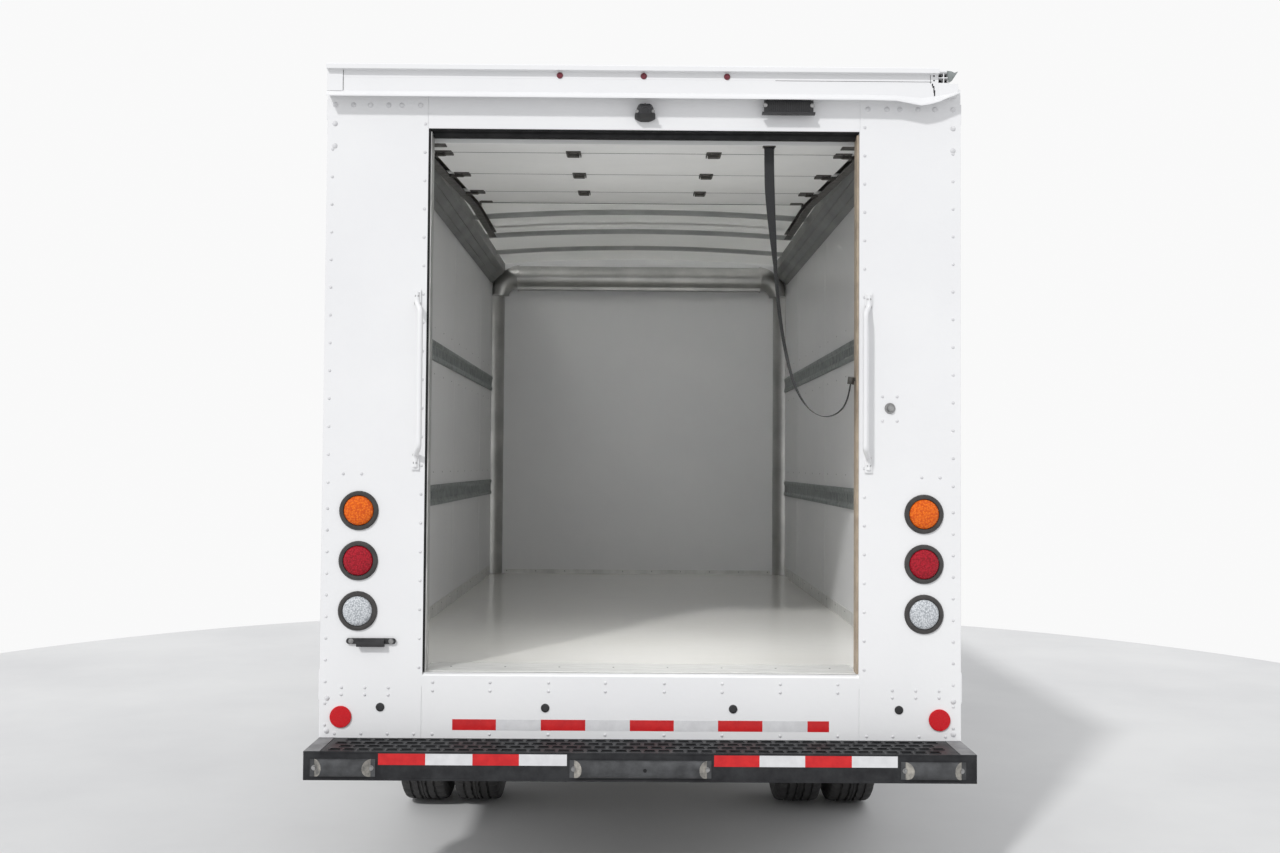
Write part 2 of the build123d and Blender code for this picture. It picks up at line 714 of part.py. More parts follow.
def front_axle():
    """Forged beam with a dropped middle and kingpin bosses at its ends."""
    z = TYRE_R
    half = KINGPIN_X
    corners = (
        (-half, z - 26, 0),
        (-half + 90, z - 26, 20),
        (-SPRING_X - 60, z - 60, 40),
        (SPRING_X + 60, z - 60, 40),
        (half - 90, z - 26, 20),
        (half, z - 26, 0),
        (half, z + 26, 0),
        (half - 90, z + 26, 20),
        (SPRING_X + 60, z + 22, 60),
        (-SPRING_X - 60, z + 22, 60),
        (-half + 90, z + 26, 20),
        (-half, z + 26, 0),
    )
    along = (FRONT_AXLE_Y - 34, FRONT_AXLE_Y + 34)
    beam = section_prism(corners, along)
    for side in (-1, 1):
        x = side * KINGPIN_X
        beam += rod((x, FRONT_AXLE_Y, z - 26), (x, FRONT_AXLE_Y, z + 26), 26)
        beam += rod((x, FRONT_AXLE_Y, z - 70), (x, FRONT_AXLE_Y, z + 70), KINGPIN_R)
        seat_x = side * SPRING_X
        beam += block((seat_x - 36, seat_x + 36), along, (z - 20, z + 22 - FIT))
    return beam


def knuckle():
    """Right steering knuckle: a fork on the kingpin, a spindle and a steering arm."""
    z = TYRE_R
    y = FRONT_AXLE_Y
    fork = block((KINGPIN_X - 32, KINGPIN_X + 62), (y - 38, y + 38), (z - 82, z + 82))
    fork = fillet(fork.edges().filter_by(Axis.Z), 18)
    fork -= block((KINGPIN_X - 40, KINGPIN_X + 31), (y - 60, y + 60), (z - 31, z + 31))
    fork -= rod((KINGPIN_X, y, z - 99), (KINGPIN_X, y, z + 99), KINGPIN_R + FIT)
    spindle = rod((KINGPIN_X + 50, y, z), (FRONT_WHEEL_X + DISC_OFFSET - 30, y, z), SPINDLE_R)
    arm = plan_prism(
        (
            (KINGPIN_X - 26, y - 20, 0),
            (KINGPIN_X + 26, y - 20, 0),
            (KINGPIN_X - ARM_X + 24, y - ARM_LEN - 22, 14),
            (KINGPIN_X - ARM_X - 24, y - ARM_LEN - 22, 14),
        ),
        (z - 82, z - 60),
    )
    hole = rod((KINGPIN_X - ARM_X, y - ARM_LEN, z - 99), (KINGPIN_X - ARM_X, y - ARM_LEN, z), 9 + FIT)
    return fork + spindle + arm - hole


def tie_rod():
    """Rod between the steering arms, with a ball stud at each end."""
    z = TYRE_R - 108
    y = FRONT_AXLE_Y - ARM_LEN
    x = KINGPIN_X - ARM_X
    bar = rod((-x, y, z), (x, y, z), 15)
    for side in (-1, 1):
        bar += Pos(side * x, y, z) * Sphere(21)
        bar += rod((side * x, y, z), (side * x, y, TYRE_R - 62), 9)
    return bar


def rim(flip):
    """Steel disc wheel; the disc bulges to plus X, or to minus X when flipped."""
    edge = RIM_W / 2
    barrel = (
        (-edge, RIM_R - 6, 0),
        (-edge, RIM_R + 19, 0),
        (-edge + 7, RIM_R + 19, 0),
        (-edge + 7, RIM_R + 2, 0),
        (edge - 7, RIM_R + 2, 0),
        (edge - 7, RIM_R + 19, 0),
        (edge, RIM_R + 19, 0),
        (edge, RIM_R - 6, 0),
    )
    face = DISC_OFFSET
    disc = (
        (30, RIM_R - 4, 0),
        (46, RIM_R - 4, 0),
        (face - 14, 134, 20),
        (face, 112, 8),
        (face, HUB_R, 0),
        (face - 11, HUB_R, 0),
        (face - 11, 106, 6),
        (face - 27, 128, 18),
    )
    wheel = turned(barrel, 0, 0, 0) + turned(disc, 0, 0, 0)
    for i in range(8):
        angle = math.radians(45 * i + 22.5)
        y = 162 * math.cos(angle)
        z = 162 * math.sin(angle)
        wheel -= rod((40, y, z), (face, y, z), 22)
        y = STUD_PCD / 2 * math.cos(angle)
        z = STUD_PCD / 2 * math.sin(angle)
        wheel += rod((face - 5, y, z), (face + 24, y, z), 12)
    return mirrored(wheel) if flip else wheel


def tyre():
    """Tyre ring seated on the rim, with rounded shoulders."""
    half = TYRE_W / 2
    seat = RIM_R + 2
    corners = (
        (-82, seat, 0),
        (-82, seat + 19, 0),
        (-half + 8, seat + 34, 12),
        (-half, 292, 60),
        (-half + 8, TYRE_R - 22, 30),
        (-half + 28, TYRE_R, 14),
        (half - 28, TYRE_R, 14),
        (half - 8, TYRE_R - 22, 30),
        (half, 292, 60),
        (half - 8, seat + 34, 12),
        (82, seat + 19, 0),
        (82, seat, 0),
    )
    return turned(corners, 0, 0, 0)


def front_hub():
    """Hub with a bored middle on the spindle, and the brake disc behind it."""
    face = FRONT_WHEEL_X + DISC_OFFSET
    hub = rod((KINGPIN_X + 68, 0, 0), (face + 34, 0, 0), HUB_R)
    hub += rod((face - 26, 0, 0), (face - 12, 0, 0), 108)
    hub += rod((KINGPIN_X + 70, 0, 0), (KINGPIN_X + 96, 0, 0), 160)
    hub -= rod((KINGPIN_X, 0, 0), (FRONT_WHEEL_X + DISC_OFFSET - 29, 0, 0), SPINDLE_R + FIT)
    return hub


def front_wheel():
    wheel = Pos(FRONT_WHEEL_X, 0, 0) * rim(False) + front_hub()
    return Pos(0, FRONT_AXLE_Y, TYRE_R) * wheel


def front_tyre():
    return Pos(FRONT_WHEEL_X, FRONT_AXLE_Y, TYRE_R) * tyre()


def rear_wheels():
    """Twin rims bolted back to back on one hub with its brake drum."""
    pair = Pos(DUAL_X - DISC_OFFSET, 0, 0) * rim(False)
    pair += Pos(DUAL_X + DISC_OFFSET, 0, 0) * rim(True)
    hub = rod((DUAL_X - 205, 0, 0), (DUAL_X + 105, 0, 0), HUB_R)
    hub += rod((DUAL_X - 210, 0, 0), (DUAL_X - 90, 0, 0), 165)
    hub -= rod((DUAL_X - 211, 0, 0), (DUAL_X - 100, 0, 0), 150)
    hub += rod((DUAL_X - 100, 0, 0), (DUAL_X - 11, 0, 0), 112)
    hub += rod((DUAL_X - 205, 0, 0), (DUAL_X + 105, 0, 0), HUB_R)
    hub -= rod((DUAL_X - 260, 0, 0), (DUAL_X + 21, 0, 0), SPINDLE_R + FIT)
    return Pos(0, REAR_AXLE_Y, TYRE_R) * (pair + hub)


def rear_tyres():
    inner = Pos(DUAL_X - DISC_OFFSET, REAR_AXLE_Y, TYRE_R) * tyre()
    outer = Pos(DUAL_X + DISC_OFFSET, REAR_AXLE_Y, TYRE_R) * tyre()
    return group(inner, outer)


def drive_shaft():
    return rod((0, REAR_AXLE_Y + 264, TYRE_R), (0, BODY_FRONT + 556, 640), 40)


def engine_block():
    """Engine and gearbox as one plain block between the frame rails."""
    block_body = block((-270, 270), (BODY_FRONT + 1120, BODY_FRONT + 1880), (FRAME_BOTTOM + 44, 1180))
    gearbox = block((-150, 150), (BODY_FRONT + 560, BODY_FRONT + 1120), (590, 762))
    return block_body + gearbox


def radiator():
    return block((-330, 330), (BODY_FRONT + 2070, BODY_FRONT + 2125), (FRAME_BOTTOM + 48, 1080))


def fuel_tank():
    """Tank hung on the left frame rail by two brackets."""
    start = REAR_AXLE_Y + 1150
    across = (-FRAME_HALF - 470, -FRAME_HALF - 20)
    tank = block(across, (start, start + 1000), (FRAME_BOTTOM - 190, FRAME_TOP - 20))
    tank = fillet(tank.edges().filter_by(Axis.Y), 70)
    for y in (start + 200, start + 750):
        strap = block((-FRAME_HALF - 475, -FRAME_HALF - 15), (y, y + 60), (FRAME_BOTTOM - 195, FRAME_TOP - 15))
        tank += fillet(strap.edges().filter_by(Axis.Y), 75)
        tank += block((-FRAME_HALF - 60, -FRAME_HALF), (y, y + 60), (FRAME_BOTTOM + 20, FRAME_TOP - 60))
    tank += rod((-780, start + 900, FRAME_TOP - 40), (-780, start + 900, FRAME_TOP + 25), 45)
    return tank


def exhaust():
    """Pipe, silencer and side outlet ahead of the right rear wheels."""
    z = 540.0
    outlet = REAR_AXLE_Y + 650
    points = (
        (250, BODY_FRONT + 1100, 640),
        (250, BODY_FRONT + 700, z),
        (250, outlet + 130, z),
        (380, outlet, z),
        (1010, outlet, z),
    )
    path = FilletPolyline(*points, radius=(400, 120, 120))
    pipe = sweep(Plane(origin=path @ 0, z_dir=path % 0) * Circle(32), path=path)
    pipe += rod((250, outlet + 1250, z), (250, outlet + 1900, z), 98)
    # Hangers up to the cross members: y, top
    for y, top in ((outlet + 1120, FRAME_BOTTOM + 30), (BODY_FRONT - 80, FRAME_BOTTOM + 62)):
        pipe += block((240, 260), (y, y + 20), (z, top - FIT))
    return pipe


# Cab


def cab_envelope(side, top):
    """Solid inside the cab's skin, set in from its sides and from its top and front."""
    spare = 0 if side + top == 0 else 200
    half_section = (
        (966 - side, CAB_BOTTOM - spare, 0),
        (1012 - side, 820, 300),
        (1003 - side, BELT_Z, 80),
        (860 - side, 2078 - top, 110 - side * 0.8),
    )
    crown = (0, 2122 - top, 9000)
    section = half_section + (crown,) + tuple((-x, z, r) for x, z, r in reversed(half_section))
    profile = (
        (CAB_BACK - spare, CAB_BOTTOM - spare, 0),
        (CAB_Y + 2260 - top, CAB_BOTTOM - spare, 0),
        (CAB_Y + 2300 - top, 760, 120),
        (CAB_Y + 2298 - top, 1120 - top, 70),
        (CAB_Y + 2200 - top, 1225 - top, 120),
        (HOOD_REAR_Y - 6 - top, BELT_Z - top, 0),
        (CAB_Y + 970 - top, 2045 - top, 160),
        (CAB_Y + 650 - top, 2132 - top, 600),
        (CAB_BACK - spare, 2132 - top, 0),
    )
    half_plan = (
        (1030 - side, CAB_BACK - spare, 0),
        (1030 - side, CAB_Y + 1700, 700),
        (905 - side, CAB_Y + 2300 - top, 170),
    )
    nose = (0, CAB_Y + 2330 - top, 3000)
    plan = half_plan + (nose,) + tuple((-x, y, r) for x, y, r in reversed(half_plan))
    body = section_prism(section, (CAB_BACK - spare, PAST_Y))
    body = body & side_prism(profile, (-1100, 1100))
    return body & plan_prism(plan, (0, 2300))


DOOR_PROFILE = (
    (DOOR_REAR_Y, 560, 40),
    (CAB_Y + 1020, 560, 60),
    (DOOR_FRONT_Y, 930, 80),
    (DOOR_FRONT_Y, BELT_Z, 40),
    (CAB_Y + 895, 1975, 60),
    (DOOR_REAR_Y, 1975, 50),
)
WINDOW_PROFILE = (
    (DOOR_REAR_Y + 72, 1400, 50),
    (CAB_Y + 1172, 1400, 40),
    (CAB_Y + 850, 1915, 50),
    (DOOR_REAR_Y + 72, 1915, 50),
)


def grown(corners, amount):
    """Prism of a side outline, grown or shrunk all round."""
    face = offset(outline(corners), amount=amount)
    return extrude(Plane.YZ.offset(-1200) * face, amount=2400)


OUTER = cab_envelope(0, 0)
CABIN = cab_envelope(DOOR_DEPTH, ROOF_T)
BONNET_SPACE = cab_envelope(FENDER_T, SHELL_T)
RIGHT = block((0, 1400), (CAB_Y - 500, CAB_Y + 2700), (0, 2400))


def windshield_prism(grow):
    """Windshield outline seen from the front, run along the slope."""
    corners = (
        (-830 - grow, 1385 - grow, 60),
        (830 + grow, 1385 - grow, 60),
        (745 + grow, 1975 + grow, 70),
        (-745 - grow, 1975 + grow, 70),
    )
    return section_prism(corners, (CAB_Y + 880, CAB_Y + 1600))


def cab_shell():
    """Cab skin behind the bonnet, with its back panel."""
    back = OUTER & block((-1100, 1100), (CAB_BACK, CAB_BACK + 20), (CAB_FLOOR_Z - 30, 2300))
    side = (
        (CAB_BACK, 400, 0),
        (CAB_Y + 1055, 400, 0),
        (CAB_Y + 1055, 540, 0),
        (CAB_Y + 1356, 955, 60),
        (CAB_Y + 1356, BELT_Z - 3, 0),
        (CAB_Y + 1700, BELT_Z - 3, 0),
        (CAB_Y + 1700, 2300, 0),
        (CAB_BACK, 2300, 0),
    )
    skin = (OUTER - CABIN) & side_prism(side, (-1200, 1200))
    skin = skin & block((-1200, 1200), (CAB_BACK, HOOD_REAR_Y - 6), (0, 2400))
    cowl = OUTER & block((-900, 900), (CAB_Y + 1380, HOOD_REAR_Y - 6), (BELT_Z - 35, BELT_Z))
    skin = skin + back + cowl
    return skin - grown(DOOR_PROFILE, PANEL_GAP) - windshield_prism(0)


def hinge_lugs(fixed):
    """Right door hinges: the fixed leaves and pins, or the door's leaves."""
    x = HINGE_X
    y = DOOR_FRONT_Y + 3
    lugs = None
    for z in (1020.0, 1260.0):
        if fixed:
            piece = rod((x, y, z - 45), (x, y, z - 16), HINGE_R) + rod((x, y, z + 16), (x, y, z + 45), HINGE_R)
            piece += rod((x, y, z - 45), (x, y, z + 45), 4)
            for low in (z - 45, z + 16):
                piece += block((x - HINGE_R - 6, x - HINGE_R + 5), (y, y + 46), (low, low + 29))
        else:
            piece = rod((x, y, z - 15.5), (x, y, z + 15.5), HINGE_R)
            piece += block((x - HINGE_R - 6, x - HINGE_R + 5), (y - 46, y), (z - 15.5, z + 15.5))
            piece -= rod((x, y, z - 20), (x, y, z + 20), 4 + FIT)
        lugs = piece if lugs is None else lugs + piece
    return lugs


def cab_door():
    """Right cab door: a skin layer and a narrower inner layer, with its window cut."""
    skin = (OUTER - cab_envelope(45, 0)) & grown(DOOR_PROFILE, 0) & RIGHT
    inner = (cab_envelope(44, 0) - cab_envelope(DOOR_DEPTH - 8, 0)) & grown(DOOR_PROFILE, -24) & RIGHT
    door = skin + inner - grown(WINDOW_PROFILE, 0)
    pocket = block((984, 1040), (CAB_Y + 245, CAB_Y + 405), (1180, 1230))
    pocket = fillet(pocket.edges().filter_by(Axis.X), 20)
    grip = block((980, 1019), (CAB_Y + 257, CAB_Y + 393), (1206, 1218))
    return door - pocket + grip + hinge_lugs(False)


def door_glass():
    return (cab_envelope(28, 0) - cab_envelope(33, 0)) & grown(WINDOW_PROFILE, 0) & RIGHT


def cab_roof(shell):
    return shell & block((-1200, 1200), (CAB_BACK, CAB_Y + 1700), (ROOF_LINE, 2400))


def cab_frame(shell):
    lower = shell & block((-1200, 1200), (CAB_BACK, CAB_Y + 1700), (0, ROOF_LINE))
    return lower + both(hinge_lugs(True)) + hood_lugs(True)


def windshield():
    """Sloped glass seated in the frame's opening."""
    sheet = cab_envelope(0, 14) - cab_envelope(0, 19)
    return sheet & windshield_prism(0) & block((-1200, 1200), (CAB_Y + 800, HOOD_REAR_Y), (1300, 2100))


def arch_cut(radius, x):
    return rod((x[0], FRONT_AXLE_Y, ARCH_Z), (x[1], FRONT_AXLE_Y, ARCH_Z), radius)


def hood():
    region = block((-HOOD_HALF, HOOD_HALF), (HOOD_REAR_Y, PAST_Y), (1112, 1500))
    return ((OUTER - BONNET_SPACE) & region) + hood_lugs(False)


def hood_lugs(fixed):
    """Two hood hinges: the cowl's leaves and pins, or the hood's leaves."""
    y = HOOD_REAR_Y - 3
    z = BELT_Z + 9
    piece = None
    for x in (-560, 560):
        if fixed:
            lug = rod((x - 30, y, z), (x + 30, y, z), 4)
            for low in (x - 30, x + 2 + 14):
                lug += rod((low, y, z), (low + 14, y, z), 8)
                lug += block((low, low + 14), (y - 40, y), (BELT_Z - 20, z - 3))
        else:
            lug = rod((x - 15.5, y, z), (x + 15.5, y, z), 8)
            lug += block((x - 15.5, x + 15.5), (y, y + 44), (BELT_Z - 14, z - 3))
            lug += block((x - 15.5, x + 15.5), (y + 3, y + 44), (BELT_Z - 24, BELT_Z - 10))
            lug -= rod((x - 20, y, z), (x + 20, y, z), 4 + FIT)
        piece = lug if piece is None else piece + lug
    return piece


def fender():
    """Right fender with its arch, its half of the nose, and the arch liner."""
    side = (
        (CAB_Y + 1059, 400, 0),
        (CAB_Y + 1059, 536, 0),
        (CAB_Y + 1360, 951, 60),
        (CAB_Y + 1360, BELT_Z - 7, 0),
        (PAST_Y, BELT_Z - 7, 0),
        (PAST_Y, 400, 0),
    )
    skin = (OUTER - BONNET_SPACE) & side_prism(side, (0, 1200))
    gap = PANEL_GAP - 2
    skin -= block((-1, HOOD_HALF + gap), (HOOD_REAR_Y - 10, PAST_Y), (1112 - gap, 1500))
    skin -= block((-1, 904), (CAB_Y + 1300, HOOD_REAR_Y - PANEL_GAP + FIT), (1112 - gap, 1500))
    skin -= block((-1, 556 + FIT), (CAB_Y + 2000, PAST_Y), (300, 1200))
    skin -= block((-1, 1200), (CAB_Y + 2045, PAST_Y), (300, 660))
    skin -= lamp_region(FIT)
    liner = arch_cut(ARCH_R + 5, (600, 975)) & block((0, 1200), (CAB_Y + 500, PAST_Y), (ARCH_Z + 60, 1300))
    wing = skin + liner - arch_cut(ARCH_R, (0, 1300))
    return wing & block((0, 1200), (CAB_Y + 1000, PAST_Y), (400, 1400))


def lamp_region(grow):
    return block((575 - grow, 850 + grow), (CAB_Y + 1800, PAST_Y), (868 - grow, 1042 + grow))


def headlamp():
    nose = block((0, 1200), (CAB_Y + 2000, PAST_Y), (0, 1400))
    return (OUTER - cab_envelope(60, 60)) & lamp_region(0) & nose


def grille():
    """Nose panel between the fenders with a row of slots."""
    panel = (OUTER - BONNET_SPACE) & block((-556, 556), (CAB_Y + 2100, PAST_Y), (664, 1107))
    for i in range(6):
        z = 730 + i * 56
        panel -= block((-470, 470), (CAB_Y + 2000, PAST_Y), (z, z + 34))
    for x in (-235, 0, 235):
        panel += block((x - 8, x + 8), (CAB_Y + 2200, CAB_Y + 2272), (700, 1080)) & BONNET_SPACE
    return panel


def front_bumper():
    """Wrapped bumper bar with two arms to the frame."""
    near = CAB_Y + 2060
    outer = ((985, near, 0), (985, FRONT_END, 130), (-985, FRONT_END, 130), (-985, near, 0))
    inside = FRONT_END - 55
    inner = ((925, near - 60, 0), (925, inside, 80), (-925, inside, 80), (-925, near - 60, 0))
    bar = plan_prism(outer, (450, 655)) - plan_prism(inner, (440, 670))
    for side in (-1, 1):
        arm = sorted((side * (FRAME_HALF - 40), side * FRAME_HALF))
        bar += block(arm, (FRONT_END - 220, FRONT_END - 50), (FRAME_BOTTOM, 650))
    return bar


def cab_floor():
    """Floor pan, engine cover between the seats, toe board and firewall."""
    pan = block((-895, 895), (CAB_BACK + 20, CAB_Y + 1235), (CAB_FLOOR_Z - 30, CAB_FLOOR_Z))
    toe = (
        (CAB_Y + 1215, CAB_FLOOR_Z - 30, 0),
        (CAB_Y + 1245, CAB_FLOOR_Z - 30, 0),
        (CAB_Y + 1378, 920, 0),
        (CAB_Y + 1378, BELT_Z - 36, 0),
        (CAB_Y + 1358, BELT_Z - 36, 0),
        (CAB_Y + 1358, 926, 0),
        (CAB_Y + 1232, CAB_FLOOR_Z, 0),
    )
    pan += side_prism(toe, (-889, 889))
    hump = block((-320, 320), (CAB_Y + 750, CAB_Y + 1360), (CAB_FLOOR_Z - 30, 1240))
    hollow = block((-300, 300), (CAB_Y + 770, CAB_Y + 1400), (CAB_FLOOR_Z - 31, 1220))
    pan = pan + hump - hollow
    for x in (-SEAT_X, SEAT_X):
        pan += block((x - 190, x + 190), (CAB_Y + 420, CAB_Y + 820), (CAB_FLOOR_Z, SEAT_LOW))
    for y in (CAB_Y + 200, CAB_Y + 1000):
        pan += both(block((FRAME_HALF - 60, FRAME_HALF - 4), (y, y + 90), (FRAME_TOP + FIT, CAB_FLOOR_Z - 30)))
    return pan


def dashboard():
    corners = (
        (CAB_Y + 1358, 1040, 0),
        (CAB_Y + 1358, BELT_Z - 40, 0),
        (CAB_Y + 1100, BELT_Z - 52, 60),
        (CAB_Y + 1052, 1210, 50),
        (CAB_Y + 1150, 1080, 40),
    )
    dash = side_prism(corners, (-880, 880))
    return dash - block((-320.3, 320.3), (CAB_Y + 1000, CAB_Y + 1360.3), (900, 1240.3))


def seat(x):
    """Cushion, back and head rest of one seat, as one soft solid."""
    y = CAB_Y + 260
    cushion = block((x - 235, x + 235), (y + 140, y + 600), (SEAT_LOW, 1150))
    cushion = fillet(cushion.edges(), 40)
    back_side = ((y + 90, 1100, 30), (y + 240, 1100, 30), (y + 130, 1720, 50), (y + 10, 1700, 50))
    rest_side = ((y, 1740, 30), (y + 110, 1745, 30), (y + 90, 1880, 40), (y, 1870, 40))
    parts = cushion + side_prism(back_side, (x - 225, x + 225)) + side_prism(rest_side, (x - 120, x + 120))
    for side in (-1, 1):
        parts += rod((x + side * 60, y + 58, 1690), (x + side * 60, y + 52, 1760), 8)
    return parts


def steering_wheel():
    """Tilted ring with three spokes on a column from the dashboard."""
    ring = Torus(185, 13)
    hub = Pos(0, 0, -20) * Cylinder(48, 40)
    wheel = ring + hub
    for angle in (0, 90, 180):
        spoke = Rot(0, 0, angle) * (Pos(110, 0, -6) * Box(150, 26, 12))
        wheel += spoke
    column = rod((0, 0, -30), (0, 0, -190), 26)
    wheel += column
    return Pos(-580, CAB_Y + 970, 1310) * (Rot(58, 0, 0) * wheel)


def door_mirror():
    """Right mirror on two arms from the door."""
    head = block((1085, 1275), (CAB_Y + 1140, CAB_Y + 1200), (1330, 1650))
    head = fillet(head.edges().filter_by(Axis.Y), 30)
    upper = rod((998, CAB_Y + 1190, 1290), (1130, CAB_Y + 1170, 1345), 11)
    lower = rod((998, CAB_Y + 1140, 1200), (1130, CAB_Y + 1165, 1340), 9)
    return head + upper + lower


# Pull strap of the door


STRAP_ROUTE = (
    (493, 110, FLOOR_Z + 2046),
    (493, 110, FLOOR_Z + 1945),
    (499, 104, FLOOR_Z + 1805),
    (515, 100, FLOOR_Z + 1610),
    (527, 96, FLOOR_Z + 1448),
    (549, 92, FLOOR_Z + 1280),
    (584, 86, FLOOR_Z + 1126),
    (630, 80, FLOOR_Z + 1030),
    (697, 72, FLOOR_Z + 980),
    (762, 62, FLOOR_Z + 997),
    (797, 52, FLOOR_Z + 1051),
    (804, 45, FLOOR_Z + 1112),
)
STRAP_R = 9.0


def strap_radii(points):
    """Radius of each bend: as large as its two runs allow."""
    radii = []
    for before, here, after in zip(points[:-2], points[1:-1], points[2:]):
        turn = math.radians((here - before).get_angle(after - here))
        run = min((here - before).length, (after - here).length)
        radii.append(0.45 * run / math.tan(turn / 2))
    return radii


def strap_path():
    """Straight runs joined by tangent arcs."""
    points = [Vector(*p) for p in STRAP_ROUTE]
    return FilletPolyline(*points, radius=strap_radii(points))


def pull_strap():
    path = strap_path()
    print("strap radii", [round(r) for r in strap_radii([Vector(*p) for p in STRAP_ROUTE])])
    print("strap length", round(path.length))
    return sweep(Plane(origin=path @ 0, z_dir=path % 0) * Circle(STRAP_R), path=path)


def strap_clip():
    """Clip under the door's edge that holds the strap's top end."""
    top = strap_path() @ 0
    return block((top.X - 24, top.X + 24), (98, 122), (top.Z, FLOOR_Z + DOOR_EDGE_Z + 112 * DOOR_SLOPE))


def strap_hook():
    """Hook plate on the right post that holds the strap's low end."""
    path = strap_path()
    end = path @ 1
    socket = rod(tuple(end), tuple(end + path % 1 * 26), 12)
    plate = block((OPENING_HALF - 5, OPENING_HALF), (26, 64), (end.Z - 10, end.Z + 60))
    link = block((end.X - 4, OPENING_HALF - 4), (36, 52), (end.Z + 12, end.Z + 24))
    return socket + plate + link


SHELL = cab_shell()
NODES = {
    "side_walls": both(side_wall()),
    "cove_rails": both(cove_rail()),
    "front_wall": front_wall(),
    "corner_mouldings": corner_mouldings(),
    "roof_skin": roof_skin(),
    "roof_bows": roof_bows(),
    "box_floor": box_floor(),
    "wall_tracks": wall_tracks(),
    "floor_trim": floor_trim(),
    "rear_frame": rear_frame() + strap_hook(),
    "rear_sill": rear_sill(),
    "rear_rail": rear_rail(),
    "roll_up_door": roll_up_door() + strap_clip(),
    "door_tracks": door_tracks(),
    "rear_lamps": group(tail_lamps(), reflectors(), marker_lamps(), work_lamp()),
    "grab_handles": grab_handles(),
    "plate_bracket": plate_bracket(),
    "camera_and_sensors": group(view_camera(), sensors()),
    "rear_bumper": rear_bumper(),
    "bumper_step": bumper_step(),
    "dock_pads": dock_pads(),
    "frame_rails": frame_rails(),
    "leaf_springs": leaf_springs(),
    "rear_axle": rear_axle(),
    "front_axle": front_axle(),
    "right_knuckle": knuckle(),
    "left_knuckle": mirrored(knuckle()),
    "tie_rod": tie_rod(),
    "front_right_wheel": front_wheel(),
    "front_left_wheel": mirrored(front_wheel()),
    "front_right_tyre": front_tyre(),
    "front_left_tyre": mirrored(front_tyre()),
    "rear_right_wheels": rear_wheels(),
    "rear_left_wheels": mirrored(rear_wheels()),
    "rear_right_tyres": rear_tyres(),
    "rear_left_tyres": mirrored(rear_tyres()),
    "drive_shaft": drive_shaft(),
    "engine_block": group(engine_block(), radiator()),
    "fuel_tank": fuel_tank(),
    "exhaust": exhaust(),
    "cab_frame": cab_frame(SHELL),
    "cab_roof": cab_roof(SHELL),
    "cab_floor": cab_floor(),
    "right_door": cab_door(),
    "left_door": mirrored(cab_door()),
    "right_door_glass": door_glass(),
    "left_door_glass": mirrored(door_glass()),
    "windshield": windshield(),
    "hood": hood(),
    "fenders": both(fender()),
    "headlamps": both(headlamp()),
    "grille": grille(),
    "front_bumper": front_bumper(),
    "dashboard": dashboard(),
    "cab_seats": group(seat(-SEAT_X), seat(SEAT_X)),
    "steering_wheel": steering_wheel() - dashboard(),
    "right_mirror": door_mirror() - OUTER,
    "left_mirror": mirrored(door_mirror() - OUTER),
    "pull_strap": pull_strap(),
}

for name, part in NODES.items():
    export_step(Pos(0, SHIFT_Y, 0) * part, f"parts/{name}.step")
    print(name, len(part.solids()), "solids", round(part.volume / 1e6, 2), "litres")
print(len(NODES), "nodes")
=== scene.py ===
# %% [markdown]
# # Box truck
# The truck is a tall white cargo box on a van chassis, seen from behind with its roll-up door open.
# Its metal parts come from the CAD model, which is loaded here as a fixed frame. This script gives
# every part its finish, and adds what a CAD model leaves out: rivets, lenses, tread, tape and cloth.
# One unit is one metre. X is across the truck, Y runs forward and Z is up from the ground.

# %% Load the frame
import bpy
import bmesh
import math
from mathutils import Matrix, Vector


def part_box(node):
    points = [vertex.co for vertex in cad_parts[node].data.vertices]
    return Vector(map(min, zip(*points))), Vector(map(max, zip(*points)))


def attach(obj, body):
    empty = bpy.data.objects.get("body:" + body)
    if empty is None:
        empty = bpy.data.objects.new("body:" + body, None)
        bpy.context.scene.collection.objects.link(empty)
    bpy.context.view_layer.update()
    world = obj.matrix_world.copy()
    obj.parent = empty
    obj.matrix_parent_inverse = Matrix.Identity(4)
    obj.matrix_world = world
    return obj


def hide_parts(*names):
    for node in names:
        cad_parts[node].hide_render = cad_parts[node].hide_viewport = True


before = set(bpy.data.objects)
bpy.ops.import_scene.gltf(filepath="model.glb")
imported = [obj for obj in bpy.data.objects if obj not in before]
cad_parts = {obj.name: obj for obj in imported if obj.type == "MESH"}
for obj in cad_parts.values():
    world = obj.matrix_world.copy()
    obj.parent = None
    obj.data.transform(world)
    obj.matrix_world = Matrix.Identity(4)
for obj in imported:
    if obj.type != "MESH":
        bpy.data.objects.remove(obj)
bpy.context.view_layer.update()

# %% [markdown]
# ## Measures
# The CAD model is laid out from the rear face of the cargo box, and from the load floor up. These
# few values repeat its measures, so each rivet and lamp lands where its panel is. All the others
# are written where they are first needed.

# %% Measures
REAR = -3.307
DECK = 0.870
HALF_INSIDE = 1.069
HALF_OPENING = 0.830
INSIDE_LENGTH = 4.400
BUMPER_TOP = 0.623
BUMPER_OUT = 0.231
WHEEL_R = 0.372
FRONT_AXLE = 6.020
REAR_AXLE = 1.550
REAR_FACE = (0, -1, 0)
SIDES = ((-1, "left"), (1, "right"))


def place(x, y, z):
    """A point y metres ahead of the box's rear face and z above the ground."""
    return Vector((x, y + REAR, z))


def at(x, y, z):
    """A point y metres ahead of the box's rear face and z above the load floor."""
    return place(x, y, DECK + z)


print("rear face at y", REAR, "and load floor at z", DECK)

# %% [markdown]
# ## Camera
# The photograph is taken from a standing height a few metres behind the door, nearly square to it.
# The lens and place were found by fitting the door opening, the floor and the roof bows to their
# real sizes, so the picture and the model share one view.

